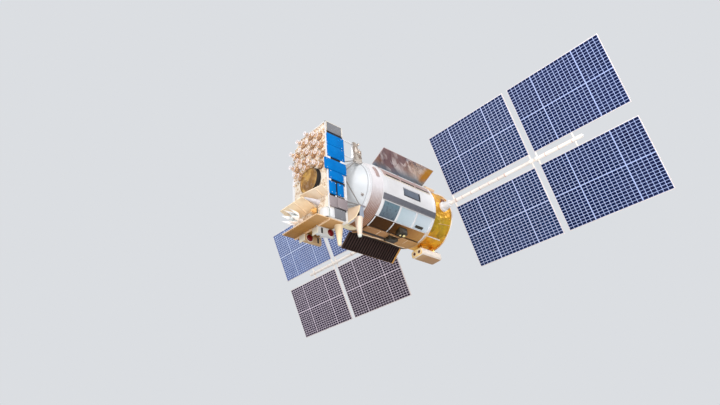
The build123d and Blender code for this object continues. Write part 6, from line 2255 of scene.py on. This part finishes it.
@dataclass
class Wing:
    """One wing: boom, four panels with cells, and what is on their backs."""

    cells: CellField
    slats: SlatRow
    which: WingSide
    tilt: float = 21.9
    axis_x: float = 0.380
    axis_z: float = 0.043
    inner_gap: float = 0.137
    height: float = 1.431
    spans: tuple[tuple[float, float], ...] = ((1.047, 3.072), (3.186, 5.190))
    columns: tuple[int, ...] = (6, 10, 6)
    rows_half: int = 12
    half_thickness: float = 0.012
    margin: float = 0.018
    line: float = 0.0096
    thick_line: float = 0.022
    boom_radii: tuple[float, float] = (0.038, 0.040)

    @property
    def place(self) -> Matrix:
        """Gives the wing's frame: local X along the boom, Y across it, Z out of the cell side."""
        turn = math.radians(self.tilt)
        normal = Vector((math.cos(turn), 0, -math.sin(turn)))
        return placement((self.axis_x, 0, self.axis_z), (0, self.which.side, 0), normal)

    def cell_points(self, span: tuple[float, float], v_low: float) -> tuple[list[Spot], tuple[float, float]]:
        """Gives the centres of a panel's cells and the size of one cell.

        Args:
            span: start and end of the panel along the boom.
            v_low: its lower edge across the boom.

        Returns:
            The spots in the wing's frame, and the cell's length and width.
        """
        count, blocks = sum(self.columns), len(self.columns)
        length = span[1] - span[0] - 2 * self.margin - self.thick_line * (blocks - 1) - self.line * (count - blocks)
        height = self.height - 2 * self.margin - self.thick_line - self.line * 2 * (self.rows_half - 1)
        cell_u, cell_v = length / count, height / (2 * self.rows_half)
        points: list[Spot] = []
        u = span[0] + self.margin
        for block in self.columns:
            for _ in range(block):
                v = v_low + self.margin
                for _ in range(2):
                    for _ in range(self.rows_half):
                        points.append(((u + cell_u / 2, v + cell_v / 2, 0.0), (0, 0, 1)))
                        v += cell_v + self.line
                    v += self.thick_line - self.line
                u += cell_u + self.line
            u += self.thick_line - self.line
        return points, (cell_u, cell_v)

    def build_half(self, index: int) -> None:
        """Makes the panel frames, cell sheets and cells of one half.

        Args:
            index: 0 for the inner half, 1 for the outer one.
        """
        half, span = ("inner", "outer")[index], self.spans[index]
        body, finish, name = self.which.bodies[index], self.which.cells[index], self.which.name
        refine(f"{half}_panels_{name}", f"panel_frames_{half}_{name}", PANEL_EDGE, "panel_frame", 0.002, body)
        sheet = frame["nodes"][f"{half}_cells_{name}"]
        sheet.data.materials.clear()
        sheet.data.materials.append(self.which.grid.material())
        for letter, v_low in zip("ab", (self.inner_gap, -self.inner_gap - self.height)):
            points, size = self.cell_points(span, v_low)
            shape = Shape()
            mesh = self.cells.tree.mesh(finish, points, Cell_length=size[0], Cell_width=size[1], Corner=0.005,
                                        Thickness=0.0012)
            shape.add(mesh, self.place @ Matrix.Translation((0, 0, self.half_thickness - 0.0002)))
            shape.piece(f"cells_{half}_{name}_{letter}", finish, body, "cells", smooth=20.0)
        self.build_back(f"{half}_{name}", span, body)
        self.build_boom(index)

    def build_back(self, label: str, span: tuple[float, float], body: Body) -> None:
        """Makes the dark backs, stiffening ribs, film strips and wires behind the panels.

        Args:
            label: which half of which wing.
            span: start and end of its panels.
            body: the body that they move with.
        """
        place, back, (u0, u1) = self.place, -self.half_thickness, span
        skins, ribs, films, wires = Shape(), Shape(), Shape(), Shape()
        for v0 in (self.inner_gap, -self.inner_gap - self.height):
            v1 = v0 + self.height
            skins.box((u0 + 0.018, v0 + 0.018, back - 0.0015), (u1 - 0.018, v1 - 0.018, back + 0.001), 0.0, place)
            ribs.add(self.slats.mesh(6, (self.height - 0.08) / 5, (u1 - u0 - 0.06, 0.014, 0.008), PANEL_EDGE),
                     place @ Matrix.Translation(((u0 + u1) / 2, v0 + 0.04, back - 0.004)))
            for share in (0.2, 0.5, 0.8):
                u = u0 + share * (u1 - u0)
                ribs.box((u - 0.008, v0 + 0.02, back - 0.010), (u + 0.008, v1 - 0.02, back - 0.001), 0.001, place)
            for share in (0.35, 0.65):
                u = u0 + share * (u1 - u0)
                films.box((u - 0.030, v0 + 0.03, back - 0.0028), (u + 0.030, v1 - 0.03, back - 0.001), 0.0, place)
            inner_v, outer_v = (v0, v1) if v0 > 0 else (v1, v0)
            for step, share in enumerate((0.34, 0.36, 0.64, 0.66)):
                run = [(u0 + share * (u1 - u0), outer_v + (inner_v - outer_v) * t) for t in (0.08, 0.3, 0.5, 0.7, 0.97)]
                wires.tube([place @ Vector((u + 0.004 * math.sin(9 * v + step), v, back - 0.006)) for u, v in run],
                           0.0035, 6)
        skins.piece(f"panel_backs_{label}", PANEL_BACK, body, "panel_frame")
        ribs.piece(f"panel_ribs_{label}", PANEL_EDGE, body, "panel_frame")
        films.piece(f"panel_films_{label}", AMBER, body, "gold_foil")
        wires.piece(f"panel_wires_{label}", WIRE, body, "white_paint")

    def build_boom(self, index: int) -> None:
        """Makes one half's boom with its clips and cable.

        Args:
            index: 0 for the inner half, 1 for the outer one.
        """
        half, name = ("inner", "outer")[index], self.which.name
        body, radius, place = self.which.bodies[index], self.boom_radii[index], self.place
        start, end = ((1.17, 2.36), (3.23, 4.10))[index]
        refine(f"{half}_boom_{name}", f"boom_{half}_{name}", BOOM, "boom_paint", 0.002, body)
        points = []
        for i in range(26):
            u = start + (end - start) * i / 25
            turn = math.radians(255 + 4 * math.sin(u * 9))
            points.append(place @ Vector((u, (radius + 0.003) * math.cos(turn), (radius + 0.003) * math.sin(turn))))
        cable, clips = Shape(), Shape()
        cable.tube(points, 0.0045)
        cable.piece(f"boom_cable_{half}_{name}", BOOM, body, "white_paint")
        count = 5 - 2 * index
        for i in range(count):
            ring = place @ Matrix.Translation((start + (end - start) * (i + 0.5) / count, 0, 0)) @ X_AXIS
            clips.turned([(-0.007, radius - 0.001), (-0.007, radius + 0.0015), (0.007, radius + 0.0015),
                          (0.007, radius - 0.001)], ring, 36)
        if index == 0:
            for u, r in ((1.119, 0.0445), (2.418, 0.0435)):
                clips.turned([(-0.013, r - 0.002), (-0.013, r + 0.001), (0.013, r + 0.001), (0.013, r - 0.002)],
                             place @ Matrix.Translation((u, 0, 0)) @ X_AXIS, 36)
        clips.piece(f"boom_clips_{half}_{name}", Coating("clip_pink", (0.72, 0.54, 0.48), (0.60, 0.42, 0.36)), body,
                    "aluminium")

    def build(self) -> None:
        """Builds the wing."""
        self.build_half(0)
        self.build_half(1)


@dataclass
class Studio:
    """Camera as in the photograph, pale floor, soft lamps and a pale surround."""

    place: Point = (9.646, 7.460, -5.876)
    right: Point = (-0.7377, 0.6715, -0.0701)
    up: Point = (0.2795, 0.3982, 0.8737)
    lens: float = 27.99
    target: Point = (2.0, 0.0, 0.0)
    floor_z: float = -6.0
    floor_radius: float = 26.0
    backdrop: Point = (0.71, 0.73, 0.76)
    glow: float = 0.42
    lamps: tuple[tuple[str, Point, float, float], ...] = (
        ("key", (12.0, 7.0, 6.0), 6.0, 1330.0), ("fill", (9.0, -10.0, 2.0), 8.0, 420.0),
        ("rim", (-9.0, 6.0, 7.0), 7.0, 520.0), ("low", (6.6, 9.6, -4.3), 3.4, 480.0))

    def build_camera(self) -> None:
        """Makes the camera and the view settings."""
        data = bpy.data.cameras.new("camera")
        data.lens = self.lens
        data.sensor_width = 36.0
        data.clip_end = 200.0
        camera = bpy.data.objects.new("camera", data)
        right, up = Vector(self.right).normalized(), Vector(self.up)
        up = (up - right * up.dot(right)).normalized()
        matrix = Matrix((right, up, right.cross(up))).transposed().to_4x4()
        matrix.translation = Vector(self.place)
        camera.matrix_world = matrix
        scene = bpy.context.scene
        scene.collection.objects.link(camera)
        scene.camera = camera
        scene.view_settings.view_transform = "Standard"

    def build_floor(self) -> None:
        """Makes the floor, which is seen from above only."""
        mesh = bpy.data.meshes.new("floor")
        turns = [2 * math.pi * i / 96 for i in range(96)]
        radius = self.floor_radius
        ring = [(2.0 + radius * math.cos(turn), radius * math.sin(turn), self.floor_z) for turn in turns]
        mesh.from_pydata(ring, [], [list(range(96))])
        material = bpy.data.materials.new("floor")
        material.use_nodes = True
        nodes, links = material.node_tree.nodes, material.node_tree.links
        nodes.clear()
        pale = nodes.new("ShaderNodeBsdfDiffuse")
        pale.inputs["Color"].default_value = (0.80, 0.80, 0.81, 1.0)
        mix = nodes.new("ShaderNodeMixShader")
        links.new(nodes.new("ShaderNodeNewGeometry").outputs["Backfacing"], mix.inputs[0])
        links.new(pale.outputs[0], mix.inputs[1])
        links.new(nodes.new("ShaderNodeBsdfTransparent").outputs[0], mix.inputs[2])
        links.new(mix.outputs[0], nodes.new("ShaderNodeOutputMaterial").inputs["Surface"])
        mesh.materials.append(material)
        floor = bpy.data.objects.new("floor", mesh)
        bpy.context.scene.collection.objects.link(floor)

    def build_light(self) -> None:
        """Makes the surround, which looks brighter to the camera than it lights, and the lamps."""
        world = bpy.data.worlds.new("surround")
        bpy.context.scene.world = world
        world.use_nodes = True
        nodes, links = world.node_tree.nodes, world.node_tree.links
        nodes.clear()
        path = nodes.new("ShaderNodeLightPath")
        seen_by: Socket = path.outputs["Is Camera Ray"]
        for ray in ("Is Glossy Ray", "Is Transmission Ray"):
            either = nodes.new("ShaderNodeMath")
            either.operation = "MAXIMUM"
            links.new(seen_by, either.inputs[0])
            links.new(path.outputs[ray], either.inputs[1])
            seen_by = either.outputs[0]
        mix = nodes.new("ShaderNodeMixShader")
        links.new(seen_by, mix.inputs[0])
        for slot, (colour, strength) in enumerate((((1.0, 1.0, 1.0), self.glow), (self.backdrop, 1.0)), 1):
            background = nodes.new("ShaderNodeBackground")
            background.inputs["Color"].default_value = (*colour, 1.0)
            background.inputs["Strength"].default_value = strength
            links.new(background.outputs[0], mix.inputs[slot])
        links.new(mix.outputs[0], nodes.new("ShaderNodeOutputWorld").inputs["Surface"])
        for name, place, size, power in self.lamps:
            data = bpy.data.lights.new(name, "AREA")
            data.shape = "DISK"
            data.size = size
            data.energy = power
            lamp = bpy.data.objects.new(name, data)
            lamp.location = place
            lamp.rotation_euler = (Vector(self.target) - Vector(place)).to_track_quat("-Z", "Y").to_euler()
            bpy.context.scene.collection.objects.link(lamp)

    def build(self) -> None:
        """Builds the studio."""
        self.build_camera()
        self.build_floor()
        self.build_light()


def main() -> None:
    """Builds every sub-assembly in order."""
    logging.basicConfig(level=logging.INFO, format="%(message)s")
    fasteners, slats, cells = Fasteners(), SlatRow(), CellField()
    near = WingSide("near", 1.0, (Body.NEAR_INNER, Body.NEAR_OUTER), NEAR_CELLS, NEAR_GRID)
    far = WingSide("far", -1.0, (Body.FAR_INNER, Body.FAR_OUTER), FAR_CELLS, FAR_GRID)
    assemblies = [
        Studio(), Drum(fasteners), Shell(fasteners), FrontBody(fasteners), Covers(slats), Truss(fasteners),
        Payload(fasteners), AntennaArray(fasteners), FrontBay(fasteners), Deck(fasteners), Wing(cells, slats, near),
        Wing(cells, slats, far),
    ]
    for assembly in assemblies:
        assembly.build()


if __name__ == "__main__":
    main()
